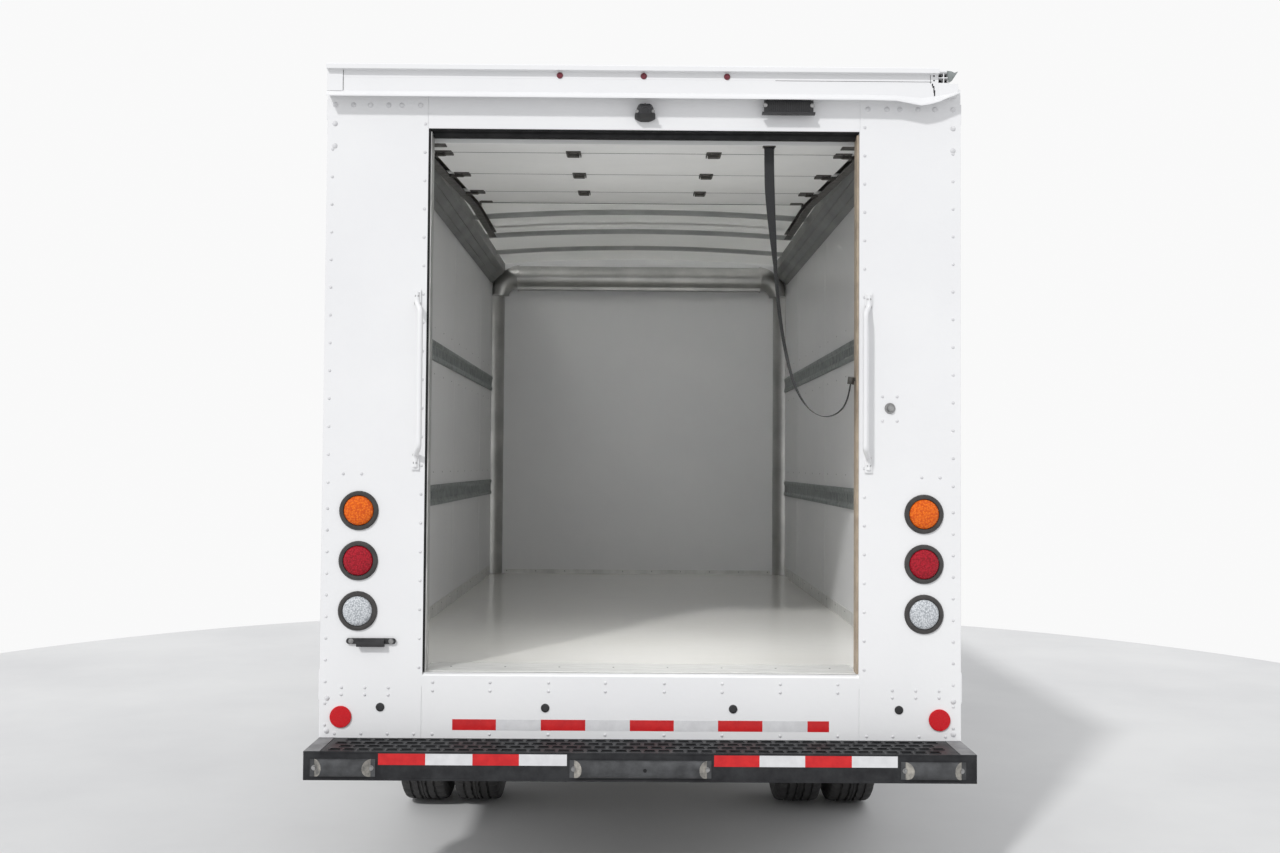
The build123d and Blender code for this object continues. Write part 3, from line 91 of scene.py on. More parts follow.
# %% Camera
yaw, pitch, roll = 0.0052, 0.0305, 0.0069
forward = Vector((math.sin(yaw) * math.cos(pitch), math.cos(yaw) * math.cos(pitch), math.sin(pitch)))
level = Vector((math.cos(yaw), -math.sin(yaw), 0))
upright = level.cross(forward)
across = level * math.cos(roll) + upright * math.sin(roll)
up = upright * math.cos(roll) - level * math.sin(roll)
lens = bpy.data.cameras.new("camera")
lens.sensor_width = 36.0
lens.lens = 35.44
lens.clip_end = 200.0
camera = bpy.data.objects.new("camera", lens)
turn = Matrix((across, up, -forward)).transposed().to_4x4()
camera.matrix_world = Matrix.Translation(Vector((-0.0341, -8.124, 1.664))) @ turn
bpy.context.scene.collection.objects.link(camera)
bpy.context.scene.camera = camera
print("camera height", round(camera.matrix_world.translation.z, 3))

# %% [markdown]
# ## Pull strap
# A flat web strap hangs from the edge of the open door and is caught on the right post, so that a
# person on the ground can pull the door down. It could be a bent box, but webbing twists as it
# hangs. So its line is a smooth curve, and its width is a flat ribbon carried along that line,
# turning a little from the top to the bottom.

# %% Route of the strap
STRAP_LINE = (
    (0.493, 0.110, 2.916),
    (0.493, 0.110, 2.815),
    (0.499, 0.104, 2.675),
    (0.515, 0.100, 2.480),
    (0.527, 0.096, 2.318),
    (0.549, 0.092, 2.150),
    (0.584, 0.086, 1.996),
    (0.630, 0.080, 1.900),
    (0.697, 0.072, 1.850),
    (0.762, 0.062, 1.867),
    (0.797, 0.052, 1.921),
    (0.804, 0.045, 1.982),
)


def smooth_line(points, steps):
    """Points along a smooth curve that follows the given ones."""
    curve = bpy.data.curves.new("route", "CURVE")
    curve.dimensions = "3D"
    spline = curve.splines.new("NURBS")
    spline.points.add(len(points) - 1)
    for knot, point in zip(spline.points, points):
        knot.co = (*point, 1.0)
    spline.order_u = 3
    spline.use_endpoint_u = True
    spline.resolution_u = steps
    holder = bpy.data.objects.new("route", curve)
    bpy.context.scene.collection.objects.link(holder)
    bpy.context.view_layer.update()
    line = bpy.data.meshes.new_from_object(holder)
    found = [vertex.co.copy() for vertex in line.vertices]
    bpy.data.objects.remove(holder)
    return found


strap_points = smooth_line([place(*p) for p in STRAP_LINE], 8)
strap_length = sum((b - a).length for a, b in zip(strap_points, strap_points[1:]))
print("strap", len(strap_points), "points,", round(strap_length, 3), "m")

# %% [markdown]
# ## Making pieces
# Almost every added piece is built vertex by vertex, since trim on a truck is folded sheet, turned
# rings and cast caps. A few small helpers cover them: a block between two corners, a ring turned
# about an axis from a profile, a skin from one row of points to the next, and a bar with any
# outline. Edges get a small bevel, because real ones catch the light.

# %% Helpers for mesh pieces
def slab(bm, low, high, spot=at):
    """A block between two corners, each given as spot takes it."""
    low, high = spot(*low), spot(*high)
    spots = [(x, y, z) for x in (low[0], high[0]) for y in (low[1], high[1]) for z in (low[2], high[2])]
    v = [bm.verts.new(s) for s in spots]
    for ring in ((0, 1, 3, 2), (4, 6, 7, 5), (0, 4, 5, 1), (2, 3, 7, 6), (0, 2, 6, 4), (1, 5, 7, 3)):
        bm.faces.new([v[i] for i in ring])


def turned(bm, profile, centre, axis, steps=32):
    """A profile of (radius, height) turned about an axis through centre."""
    basis = Vector(axis).to_track_quat("Z", "Y").to_matrix()
    angles = [2 * math.pi * i / steps for i in range(steps)]
    rings = []
    for radius, height in profile:
        spots = [(radius * math.cos(a), radius * math.sin(a), height) for a in angles]
        if radius < 1e-6:
            spots = [(0, 0, height)]
        rings.append([bm.verts.new(Vector(centre) + basis @ Vector(s)) for s in spots])
    for a, b in zip(rings, rings[1:]):
        for i in range(steps):
            j = (i + 1) % steps
            quad = [a[i % len(a)], a[j % len(a)], b[j % len(b)], b[i % len(b)]]
            quad = list(dict.fromkeys(quad))
            if len(quad) > 2:
                bm.faces.new(quad)


def studs(bm, profile, spots, axis, steps):
    """The same turned shape at each of the spots."""
    for spot in spots:
        turned(bm, profile, spot, axis, steps)


def skin(bm, rows, wrap=True, caps=(0, -1), loop=False):
    """Faces from each row of points to the next. A row is a ring, unless wrap is off.
    The rows named in caps are closed, and loop joins the last row to the first."""
    rows = [[bm.verts.new(p) for p in row] for row in rows]
    for a, b in zip(rows, rows[1:] + rows[:1] * loop):
        for k in range(len(a) if wrap else len(a) - 1):
            j = (k + 1) % len(a)
            bm.faces.new((a[k], a[j], b[j], b[k]))
    for end in caps:
        bm.faces.new(rows[end])


def bar(bm, outline, start, stop, spot):
    """An outline of (u, v) run from start to stop; spot(u, v, w) gives each vertex's place."""
    skin(bm, [[spot(u, v, w) for u, v in outline] for w in (start, stop)])


def arc_points(radius_u, radius_v, angles, centre=0.0):
    """Points (u, v) on a round or oval arc, its middle moved along u."""
    return [(centre + radius_u * math.cos(a), radius_v * math.sin(a)) for a in angles]


def rod(radius, length):
    """The profile of a plain rod."""
    return [(0, 0), (radius, 0), (radius, length), (0, length)]


def fins(bm, count, first, pitch, low, high, spot):
    """A row of like blocks, whose x starts at first and goes up by a pitch each time."""
    for x in [first + i * pitch for i in range(count)]:
        slab(bm, (x + low[0], *low[1:]), (x + high[0], *high[1:]), spot)


def spread(start, stop, pitch):
    """Evenly spaced values from start to stop, about one pitch apart."""
    count = max(1, round(abs(stop - start) / pitch))
    return [start + (stop - start) * i / count for i in range(count + 1)]


def finish_piece(name, bm, finish, body="truck", bevel=0.0, sharp=35.0, turn=True):
    """Turns the built mesh into a named piece that rides on a body, with its faces turned outward."""
    if turn:
        bmesh.ops.recalc_face_normals(bm, faces=bm.faces)
    mesh = bpy.data.meshes.new(name)
    bm.to_mesh(mesh)
    bm.free()
    mesh.materials.append(FINISH[finish])
    mesh.shade_smooth()
    mesh.set_sharp_from_angle(angle=math.radians(sharp))
    piece = bpy.data.objects.new(name, mesh)
    bpy.context.scene.collection.objects.link(piece)
    if bevel:
        soft = piece.modifiers.new("soft edges", "BEVEL")
        soft.width = bevel
        soft.segments = 2
        soft.limit_method = "ANGLE"
        soft.harden_normals = False
    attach(piece, body)
    return piece


print("helpers ready")

# %% [markdown]
# ## Finishes
# Painted sheet is not one flat colour. Paint pools a little, dust settles, and rollers and hands
# leave marks. Each finish here is a colour that drifts between two close tones, a roughness that
# drifts with it, and a fine bump. The drift is a noise pattern measured in metres on the truck, so
# no unwrapping is needed. The table keeps every finish in one place.

# %% Finish maker
def start_material(name):
    """A new material: itself, its node tree, its shader and its object coordinates."""
    material = bpy.data.materials.new(name)
    material.use_nodes = True
    tree = material.node_tree
    coords = tree.nodes.new("ShaderNodeTexCoord").outputs["Object"]
    return material, tree, tree.nodes["Principled BSDF"], coords


def set_values(node, **values):
    """Constant values on a node's inputs; a low line in a name stands for a space."""
    for name, value in values.items():
        node.inputs[name.replace("_", " ")].default_value = value


def add_node(tree, kind, source, socket, **values):
    """A node with one input fed by the source and others set."""
    node = tree.nodes.new("ShaderNode" + kind)
    tree.links.new(source, node.inputs[socket])
    set_values(node, **values)
    return node


def noise(tree, coords, scale, detail=4.0, rough=0.55, stretch=(1, 1, 1)):
    """A noise pattern at so many features per metre."""
    grid = add_node(tree, "Mapping", coords, "Vector", Scale=stretch).outputs["Vector"]
    pattern = add_node(tree, "TexNoise", grid, "Vector", Scale=scale, Detail=detail, Roughness=rough)
    return pattern.outputs["Fac"]


def ramp(tree, value, low, high, first, last):
    """Blends from one colour to another as the value goes from low to high."""
    node = add_node(tree, "ValToRGB", value, "Fac")
    for stop, position, colour in zip(node.color_ramp.elements, (low, high), (first, last)):
        stop.position = position
        stop.color = (*colour, 1)
    return node.outputs["Color"]


def raise_bump(tree, shader, height, depth, strength=1.0):
    """Bumps on the surface from a pattern of heights."""
    bump = add_node(tree, "Bump", height, "Height", Distance=depth, Strength=strength)
    tree.links.new(bump.outputs["Normal"], shader.inputs["Normal"])


def make_finish(name, light, dark, drift, rough, grain, metal=0.0, coat=0.0, stretch=(1, 1, 1)):
    """light and dark colours, drift features per metre, roughness range, grain (per metre, depth)."""
    material, tree, shader, coords = start_material(name)
    cloud = noise(tree, coords, drift, 6.0, 0.6, stretch)
    tree.links.new(ramp(tree, cloud, 0.35, 0.65, dark, light), shader.inputs["Base Color"])
    dull = add_node(tree, "MapRange", cloud, "Value", To_Min=rough[1], To_Max=rough[0])
    tree.links.new(dull.outputs["Result"], shader.inputs["Roughness"])
    raise_bump(tree, shader, noise(tree, coords, grain[0], 3.0, 0.5, stretch), grain[1], 0.6)
    set_values(shader, Metallic=metal, Coat_Weight=coat, Coat_Roughness=0.12)
    return material


def shader_of(finish):
    """The shader node of a finish."""
    return FINISH[finish].node_tree.nodes["Principled BSDF"]


# %% Table of finishes
# Rolled metal has its grain drawn out along its length
ROLLED = (1, 8, 1)
# name: light colour, dark colour, drift per metre, roughness range, grain, metal, coat, stretch
FINISHES = {
    "box_paint": ((0.80, 0.80, 0.80), (0.77, 0.77, 0.775), 1.6, (0.30, 0.42), (60, 0.0006), 0.0, 0.25),
    "cab_paint": ((0.82, 0.82, 0.82), (0.80, 0.80, 0.80), 1.2, (0.22, 0.30), (90, 0.0003), 0.0, 0.5),
    "liner": ((0.80, 0.81, 0.79), (0.75, 0.76, 0.745), 0.9, (0.32, 0.45), (220, 0.0002), 0.0, 0.1),
    "deck_paint": ((0.80, 0.79, 0.755), (0.74, 0.73, 0.69), 2.2, (0.16, 0.30), (14, 0.0008), 0.0, 0.4),
    # The side coves are painted dark grey as painted shade along the roof edges; the same aluminium is light
    # at the front corners.
    "shaded_cove_metal": ((0.24, 0.245, 0.24), (0.17, 0.175, 0.17), 3.0, (0.34, 0.46), (160, 0.0004), 0.5),
    "corner_metal": ((0.50, 0.50, 0.485), (0.38, 0.38, 0.37), 4.0, (0.24, 0.36), (200, 0.0004), 0.85),
    "bow_paint": ((0.42, 0.43, 0.42), (0.33, 0.34, 0.33), 5.0, (0.45, 0.6), (150, 0.0004), 0.2),
    "roof_sheet": ((0.88, 0.88, 0.86), (0.83, 0.83, 0.81), 1.5, (0.4, 0.55), (120, 0.0004)),
    "zinc": ((0.30, 0.325, 0.32), (0.20, 0.22, 0.215), 22.0, (0.35, 0.55), (300, 0.0003), 0.4),
    "bare_alloy": ((0.62, 0.62, 0.61), (0.46, 0.46, 0.45), 9.0, (0.3, 0.5), (260, 0.0003), 0.85, 0, ROLLED),
    "door_sheet": ((0.90, 0.90, 0.885), (0.85, 0.85, 0.835), 2.5, (0.38, 0.5), (70, 0.0006), 0.0, 0.1),
    "worn_alloy": ((0.74, 0.74, 0.72), (0.58, 0.58, 0.56), 9.0, (0.35, 0.5), (260, 0.0003), 0.25, 0, ROLLED),
    "hinge_steel": ((0.11, 0.105, 0.095), (0.055, 0.052, 0.048), 30.0, (0.4, 0.6), (300, 0.0005), 0.4),
    "step_steel": ((0.035, 0.036, 0.038), (0.018, 0.018, 0.02), 14.0, (0.38, 0.6), (180, 0.0008), 0.1),
    "end_plate": ((0.24, 0.24, 0.245), (0.13, 0.13, 0.135), 10.0, (0.4, 0.6), (150, 0.0008), 0.3),
    "pad_rubber": ((0.085, 0.087, 0.09), (0.045, 0.046, 0.048), 18.0, (0.45, 0.7), (400, 0.0006)),
    "seal_rubber": ((0.022, 0.022, 0.023), (0.013, 0.013, 0.014), 20.0, (0.55, 0.75), (500, 0.0003)),
    "lamp_rubber": ((0.05, 0.047, 0.045), (0.03, 0.028, 0.027), 25.0, (0.42, 0.6), (400, 0.0003)),
    "black_plastic": ((0.028, 0.028, 0.03), (0.018, 0.018, 0.019), 12.0, (0.42, 0.58), (700, 0.0003)),
    "frame_paint": ((0.035, 0.035, 0.037), (0.07, 0.063, 0.057), 6.0, (0.5, 0.72), (90, 0.0010)),
    "axle_iron": ((0.085, 0.08, 0.077), (0.13, 0.10, 0.08), 9.0, (0.6, 0.8), (120, 0.0015), 0.2),
    "rim_paint": ((0.62, 0.62, 0.61), (0.48, 0.46, 0.44), 7.0, (0.35, 0.55), (120, 0.0006), 0.0, 0.1),
    "tyre_rubber": ((0.032, 0.032, 0.033), (0.05, 0.048, 0.046), 8.0, (0.62, 0.82), (260, 0.0009)),
    "pipe_steel": ((0.30, 0.27, 0.24), (0.18, 0.14, 0.11), 9.0, (0.5, 0.75), (140, 0.0009), 0.6),
    "dash_plastic": ((0.095, 0.095, 0.10), (0.075, 0.075, 0.08), 8.0, (0.5, 0.65), (900, 0.0004)),
    "floor_mat": ((0.045, 0.045, 0.047), (0.03, 0.03, 0.03), 12.0, (0.7, 0.9), (500, 0.0012)),
    "bolt_steel": ((0.42, 0.42, 0.42), (0.25, 0.25, 0.25), 40.0, (0.3, 0.5), (400, 0.0002), 0.9),
    "red_tape": ((0.60, 0.018, 0.020), (0.50, 0.012, 0.016), 30.0, (0.28, 0.42), (900, 0.0001), 0.0, 0.3),
    "silver_tape": ((0.70, 0.70, 0.71), (0.63, 0.63, 0.64), 30.0, (0.28, 0.42), (900, 0.0001), 0.1, 0.3),
    "mirror_face": ((0.75, 0.77, 0.78), (0.70, 0.72, 0.73), 1.0, (0.02, 0.04), (50, 0.00001), 1.0),
    # Rivets are painted a little greyer than the sheet: painted shade round each dome.
    "rivet_shade_paint": ((0.74, 0.74, 0.745), (0.60, 0.60, 0.61), 60.0, (0.3, 0.45), (500, 0.0002), 0.1),
    "marker_lens": ((0.20, 0.020, 0.035), (0.09, 0.010, 0.018), 90.0, (0.2, 0.3), (300, 0.0006)),
    # Tan for the right jamb is painted sunlight.
    "sunlit_tan_strip": ((0.44, 0.36, 0.27), (0.30, 0.24, 0.18), 14.0, (0.45, 0.6), (240, 0.0004), 0.1),
    # Pale rubber for the pads' cut ends is a painted highlight.
    "pale_highlight_rubber": ((0.38, 0.36, 0.32), (0.12, 0.118, 0.113), 34.0, (0.5, 0.7), (420, 0.0006)),
    "plated_steel": ((0.66, 0.66, 0.665), (0.48, 0.47, 0.46), 30.0, (0.16, 0.34), (300, 0.0002), 1.0),
    "studio_concrete": ((0.66, 0.66, 0.655), (0.60, 0.60, 0.60), 0.5, (0.6, 0.8), (30, 0.0008)),
}
FINISH = {name: make_finish(name, *values) for name, values in FINISHES.items()}
# Thin glass fibre lets some daylight through the roof
set_values(shader_of("roof_sheet"), Transmission_Weight=0.6, IOR=1.2)
for name in ("red_tape", "seal_rubber", "step_steel", "pad_rubber"):
    set_values(shader_of(name), Specular_IOR_Level=0.2)
print(len(FINISH), "finishes")

# %% [markdown]
# ## Glass, lenses and cloth
# Window glass is a thin dark-tinted sheet, and lamp lenses are coloured plastic with a moulded
# pattern behind a clear face. A glass shader alone would look empty, so lenses get a cell pattern
# in their bump, and cloth gets a woven pattern of crossing waves.

# %% Window glass
glass, tree, shader, coords = start_material("window_glass")
set_values(shader, Base_Color=(0.30, 0.36, 0.35, 1), Roughness=0.03, Transmission_Weight=0.85, IOR=1.45)
raise_bump(tree, shader, noise(tree, coords, 3.0, 1.0), 0.0003)
FINISH["window_glass"] = glass


# %% Lenses
def make_lens(name, bright, deep, cells):
    """Moulded plastic lens: cells per metre, brighter in the middle of each cell."""
    material, tree, shader, coords = start_material(name)
    grid = add_node(tree, "TexVoronoi", coords, "Vector", Scale=cells).outputs["Distance"]
    tree.links.new(ramp(tree, grid, 0.05, 0.75, bright, deep), shader.inputs["Base Color"])
    raise_bump(tree, shader, grid, 0.001)
    set_values(shader, Roughness=0.25, Specular_IOR_Level=0.2, Coat_Weight=0.12, Coat_Roughness=0.05)
    return material


# name: bright colour, deep colour, cells per metre
LENSES = {
    "amber_lens": ((0.90, 0.20, 0.012), (0.58, 0.08, 0.004), 150),
    "red_lens": ((0.50, 0.012, 0.03), (0.24, 0.004, 0.012), 170),
    "clear_lens": ((0.80, 0.82, 0.84), (0.34, 0.36, 0.38), 190),
    "red_reflector": ((0.68, 0.012, 0.02), (0.52, 0.008, 0.014), 420),
    "head_lens": ((0.82, 0.85, 0.87), (0.50, 0.54, 0.57), 60),
}
FINISH.update({name: make_lens(name, *values) for name, values in LENSES.items()})


# %% Cloth
def make_cloth(name, warp, weft, threads, fuzz):
    """Woven cloth with so many threads per metre."""
    material, tree, shader, coords = start_material(name)
    weave = add_node(tree, "TexWave", coords, "Vector", Scale=threads, Distortion=0.6)
    weave.bands_direction = "DIAGONAL"
    tree.links.new(ramp(tree, weave.outputs["Fac"], 0.2, 0.8, warp, weft), shader.inputs["Base Color"])
    raise_bump(tree, shader, weave.outputs["Fac"], 0.0008)
    set_values(shader, Roughness=0.85, Sheen_Weight=fuzz)
    return material


FINISH["webbing"] = make_cloth("webbing", (0.050, 0.051, 0.053), (0.018, 0.018, 0.019), 130, 0.03)
FINISH["seat_cloth"] = make_cloth("seat_cloth", (0.115, 0.115, 0.125), (0.07, 0.07, 0.078), 90, 0.35)
print(len(FINISH), "finishes with glass, lenses and cloth")

# %% [markdown]
# ## Painting the CAD parts
# The CAD parts already have their true shape, so most of them only need a finish. Each one's
# material slots are filled from a table that reads like a paint shop's order.

# %% Paint order
PAINT = {
    "shaded_cove_metal": "cove_rails",
    "box_paint": "side_walls front_wall rear_frame rear_sill rear_rail grab_handles",
    "cab_paint": "cab_frame cab_roof right_door left_door hood fenders",
    "deck_paint": "box_floor",
    "bow_paint": "roof_bows",
    "roof_sheet": "roof_skin",
    "corner_metal": "corner_mouldings",
    "zinc": "wall_tracks",
    "hinge_steel": "door_tracks leaf_springs",
    "worn_alloy": "floor_trim",
    "door_sheet": "roll_up_door",
    "step_steel": "rear_bumper bumper_step",
    "pad_rubber": "dock_pads",
    "black_plastic": "plate_bracket camera_and_sensors grille front_bumper right_mirror left_mirror",
    "frame_paint": "frame_rails drive_shaft fuel_tank",
    "axle_iron": "rear_axle front_axle right_knuckle left_knuckle tie_rod engine_block",
    "rim_paint": "front_right_wheel front_left_wheel rear_right_wheels rear_left_wheels",
    "tyre_rubber": "front_right_tyre front_left_tyre rear_right_tyres rear_left_tyres",
    "pipe_steel": "exhaust",
    "floor_mat": "cab_floor",
    "dash_plastic": "dashboard steering_wheel",
    "seat_cloth": "cab_seats",
    "window_glass": "right_door_glass left_door_glass windshield",
    "head_lens": "headlamps",
    "red_lens": "rear_lamps",
    "webbing": "pull_strap",
}
for finish, names in PAINT.items():
    for name in names.split():
        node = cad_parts[name]
        node.data.materials.clear()
        node.data.materials.append(FINISH[finish])
print("painted", sum(len(names.split()) for names in PAINT.values()), "of", len(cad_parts), "parts")

# %% [markdown]
# ## The ribbon of the strap
# At each point of the line, the ribbon needs a direction for its width. At the top it hangs square
# to the door, and lower down it turns edge-on, so the direction turns slowly along the line. The
# ribbon has a real thickness of 2 mm and a slight cup, as loaded webbing has.

# %% Pull strap
STRAP_WIDTH = 0.040
STRAP_HALF_THICK = 0.001
# Section of the ribbon, in half widths and half thicknesses
STRAP_SECTION = ((-1, -1), (-0.4, -0.7), (0.4, -0.7), (1, -1), (1, 1), (0.4, 1.3), (-0.4, 1.3), (-1, 1))
last = len(strap_points) - 1
rows = []
for i, point in enumerate(strap_points):
    along = (strap_points[min(i + 1, last)] - strap_points[max(i - 1, 0)]).normalized()
    first = max(0.0, min(1.0, (i / last - 0.10) / 0.18))
    second = max(0.0, min(1.0, (i / last - 0.50) / 0.20))
    twist = math.radians(12 + 54 * first + 9 * second)
    across = Vector((math.cos(twist), math.sin(twist), 0))
    across = (across - along * across.dot(along)).normalized()
    out = along.cross(across)
    rows.append([point + across * u * STRAP_WIDTH / 2 + out * v * STRAP_HALF_THICK for u, v in STRAP_SECTION])
bm = bmesh.new()
skin(bm, rows)
strap = finish_piece("strap_webbing", bm, "webbing")
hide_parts("pull_strap")
tuple(strap_points[0])
[tuple(p) for p in strap_points]
print("strap ribbon of", len(rows), "rows")

# %% Hook that holds the strap, and the clip at its top
bm = bmesh.new()
slab(bm, (0.8242, 0.0252, 1.971), (0.8299, 0.0648, 2.043), place)
slab(bm, (0.7990, 0.0350, 1.993), (0.8270, 0.0530, 2.007), place)
turned(bm, rod(0.0128, 0.028), place(0.804, 0.045, 1.9815), (0.1, -0.1, 1), 16)
slab(bm, (0.4685, 0.0972, 2.046), (0.5175, 0.1228, 2.086))
finish_piece("strap_hook_metal", bm, "hinge_steel", bevel=0.0008)

# %% [markdown]
# ## Rivets
# The body is sheet aluminium on a frame, held by hundreds of domed rivets painted over with the
# sheet. Each one is only a few millimetres high, but together they give the flat panels their
# scale. A bump map could fake them, but they would have no edge from the side. Low domes of eight
# sides cost little, so each row of rivets is real.

# %% Rivets of the rear frame
def rivets(name, spots, out, radius=0.0062, height=0.0028):
    """Low domes at the spots, all facing the direction out."""
    bm = bmesh.new()
    studs(bm, [(radius, 0), (radius * 0.75, height * 0.7), (0, height)], spots, out, 8)
    # The domes take a finish a little greyer than the sheet, as painted shade.
    finish_piece(name, bm, "rivet_shade_paint", sharp=60)


small = []
for x, low, high in ((-1.198, 0.72, 2.00), (1.190, 0.72, 2.00), (-0.843, 0.02, 2.10), (0.850, 0.02, 2.10)):
    small += [(x, z) for z in spread(low, high, 0.109)]
for x in (-1.198, 1.190):
    small += [(x, z) for z in spread(-0.20, 0.62, 0.082)]
for side in (-1, 1):
    small += [(side * x, z) for x in (1.136, 1.047, 0.958) for z in (-0.058, -0.085)]
    small += [(side * x, -0.232) for x in spread(0.86, 1.16, 0.10)]
    small += [(side * 1.140, 0.753), (side * 1.070, 0.753)]
for x in (-0.790, -0.572, -0.350, -0.134, 0.090, 0.310, 0.531, 0.750):
    small += [(x, z) for z in (-0.036, -0.068, -0.232)]
small += [(0.948 + dx, 1.017 + dz) for dx in (-0.029, 0.027) for dz in (-0.048, 0.045)]
rivets("rear_rivets", [at(x, 0, z) for x, z in small], REAR_FACE, 0.0065, 0.003)
large = [(side * x, 2.172) for side in (-1, 1) for x in (1.190, 1.120, 1.055, 0.985, 0.935, 0.862)]
large += [(side * 1.190, z) for side in (-1, 1) for z in (2.099, 2.013, -0.098, -0.222)]
rivets("corner_rivets", [at(x, 0, z) for x, z in large], REAR_FACE, 0.011, 0.005)
print("rear rivets", len(small) + len(large))

# %% [markdown]
# ## Tail lamps
# Each side has three round lamps, pressed into thick rubber rings: amber, red and clear. A ring is
# turned from its section, with the groove round the lens, and the lens bulges out of it. Below them
# is a flat red reflector, and three small dark red markers sit on the rail above the door. All are
# rings about one axis, so turning a profile is the plain way to make them.

# %% Tail lamps
LAMP_X = 1.078
LAMP_RING = [(0.075, 0), (0.0745, 0.005), (0.071, 0.0095), (0.064, 0.0115), (0.059, 0.010), (0.0565, 0.006)]
LAMP_LENS = [(0.0565, 0.004), (0.0555, 0.0085), (0.052, 0.0125)]
LAMP_LENS += [(0.040, 0.0165), (0.020, 0.0188), (0, 0.0195)]
LAMPS = {"amber_lens": 0.613, "red_lens": 0.4225, "clear_lens": 0.232}
REFLECTOR = [(0.041, 0), (0.041, 0.006), (0.0395, 0.0075), (0, 0.0078)]
MARKER = [(0.0125, 0), (0.0115, 0.004), (0.007, 0.007), (0, 0.008)]
bm = bmesh.new()
studs(bm, LAMP_RING, [at(side * LAMP_X, 0, z) for z in LAMPS.values() for side in (-1, 1)], REAR_FACE, 40)
rings = finish_piece("lamp_rings", bm, "lamp_rubber")
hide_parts("rear_lamps")
for finish, z in LAMPS.items():
    bm = bmesh.new()
    studs(bm, LAMP_LENS, [at(side * LAMP_X, 0, z) for side in (-1, 1)], REAR_FACE, 40)
    finish_piece(finish.replace("lens", "lenses"), bm, finish)
bm = bmesh.new()
studs(bm, REFLECTOR, [at(side * 1.137, 0, -0.168) for side in (-1, 1)], REAR_FACE, 40)
finish_piece("round_reflectors", bm, "red_reflector")
bm = bmesh.new()
studs(bm, MARKER, [at(x, -0.038, 2.281) for x in (-0.325, -0.004, 0.315)], REAR_FACE, 20)
finish_piece("marker_lamps", bm, "marker_lens")
print("lamps", 2 * len(LAMPS), "with reflectors and markers")

# %% [markdown]
# ## Reflective tape
# Red and silver tape runs along the sill and along the bumper's face. Tape is a strip of its own on
# the paint, a fraction of a millimetre thick, so each coloured length is a thin block and not a
# colour painted on the panel.

# %% Tape
SILL_TAPE = (-0.714, -0.548, -0.378, -0.209, -0.040, 0.127, 0.295, 0.464, 0.635, 0.717)
LEFT_TAPE = (-0.947, -0.777, -0.607, -0.439, -0.266)
RIGHT_TAPE = (0.266, 0.430, 0.595, 0.764, 0.930)
# Each run: joints, y of the panel, thickness, lower and upper edge
TAPE_RUNS = (
    (SILL_TAPE, 0, 0.0006, -0.216, -0.175),
    (LEFT_TAPE, -BUMPER_OUT, 0.0007, -0.294, -0.250),
    (RIGHT_TAPE, -BUMPER_OUT, 0.0007, -0.294, -0.250),
)
for finish, first in (("red_tape", 0), ("silver_tape", 1)):
    bm = bmesh.new()
    for joints, y, thick, low, high in TAPE_RUNS:
        for a, b in list(zip(joints, joints[1:]))[first::2]:
            slab(bm, (a, y - thick, low), (b, y, high))
    finish_piece(finish.replace("tape", "tape_lengths"), bm, finish)
print("tape on the sill from", SILL_TAPE[0], "to", SILL_TAPE[-1])

# %% [markdown]
# ## Small rear fittings
# The lock has a round barrel in a flange, the four parking sensors are black buttons with a step,
# the camera has a lens in a hood, and the grab handles have eyelets for their bolts. The work lamp
# under the drip flange is a black finned bar with two pale end caps. They are all small turned or
# cut parts, made from the same helpers.

# %% Lock, sensors and bolts
LOCK = [(0.021, 0), (0.020, 0.004), (0.014, 0.006), (0.013, 0.013), (0.011, 0.015), (0, 0.0145)]
EYELET = [(0.010, 0), (0.010, 0.002), (0.0068, 0.0022), (0.0068, 0.007), (0, 0.008)]
PLATE_BOLT = [(0.010, 0), (0.010, 0.002), (0.006, 0.0024), (0.006, 0.006), (0, 0.007)]
SMALL_BOLT = [(0.0065, 0), (0.006, 0.003), (0, 0.005)]
BUTTON = [(0.0165, 0), (0.016, 0.003), (0.011, 0.0045), (0.0105, 0.003), (0, 0.0035)]
bm = bmesh.new()
turned(bm, LOCK, at(0.948, 0, 1.017), REAR_FACE, 24)
eyelets = [at(x, -0.008, z) for x in (-0.865, 0.865) for z in (0.796, 0.826, 1.404, 1.434)]
studs(bm, EYELET, eyelets, REAR_FACE, 12)
studs(bm, PLATE_BOLT, [at(x, -0.010, 0.119) for x in (-1.100, -0.948)], REAR_FACE, 12)
studs(bm, SMALL_BOLT, [at(x, -0.0475, 2.143) for x in (-0.029, 0.033)], REAR_FACE, 10)
finish_piece("rear_bolts", bm, "bolt_steel")
bm = bmesh.new()
studs(bm, BUTTON, [at(x, 0, -0.131) for x in (-0.988, -0.362, 0.352, 0.983)], REAR_FACE, 24)
finish_piece("sensor_buttons", bm, "black_plastic")

# %% Camera in its hood
CAMERA_X = 0.002
# Rows of the hood: height, half width, how far it stands out
HOOD_ROWS = (
    (2.182, 0.020, 0.006),
    (2.176, 0.026, 0.036),
    (2.160, 0.032, 0.047),
    (2.136, 0.040, 0.047),
    (2.126, 0.040, 0.036),
    (2.118, 0.026, 0.020),
    (2.114, 0.014, 0.002),
)
HOOD_SECTION = ((-1, 0), (-1, 0.55), (-0.7, 1), (0.7, 1), (1, 0.55), (1, 0))
CAMERA_EYE = [(0.014, 0), (0.013, 0.005), (0.009, 0.006), (0.008, 0.003), (0, 0.005)]
bm = bmesh.new()
skin(bm, [[at(CAMERA_X + u * half, -v * out, z) for u, v in HOOD_SECTION] for z, half, out in HOOD_ROWS])
turned(bm, CAMERA_EYE, at(CAMERA_X, -0.046, 2.150), (0, -1, -0.3), 24)
turned(bm, [(0.005, 0), (0.0045, 0.003), (0, 0.004)], at(CAMERA_X, -0.041, 2.171), REAR_FACE, 12)
camera_hood = finish_piece("camera_hood", bm, "black_plastic", bevel=0.002, sharp=40)
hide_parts("camera_and_sensors")

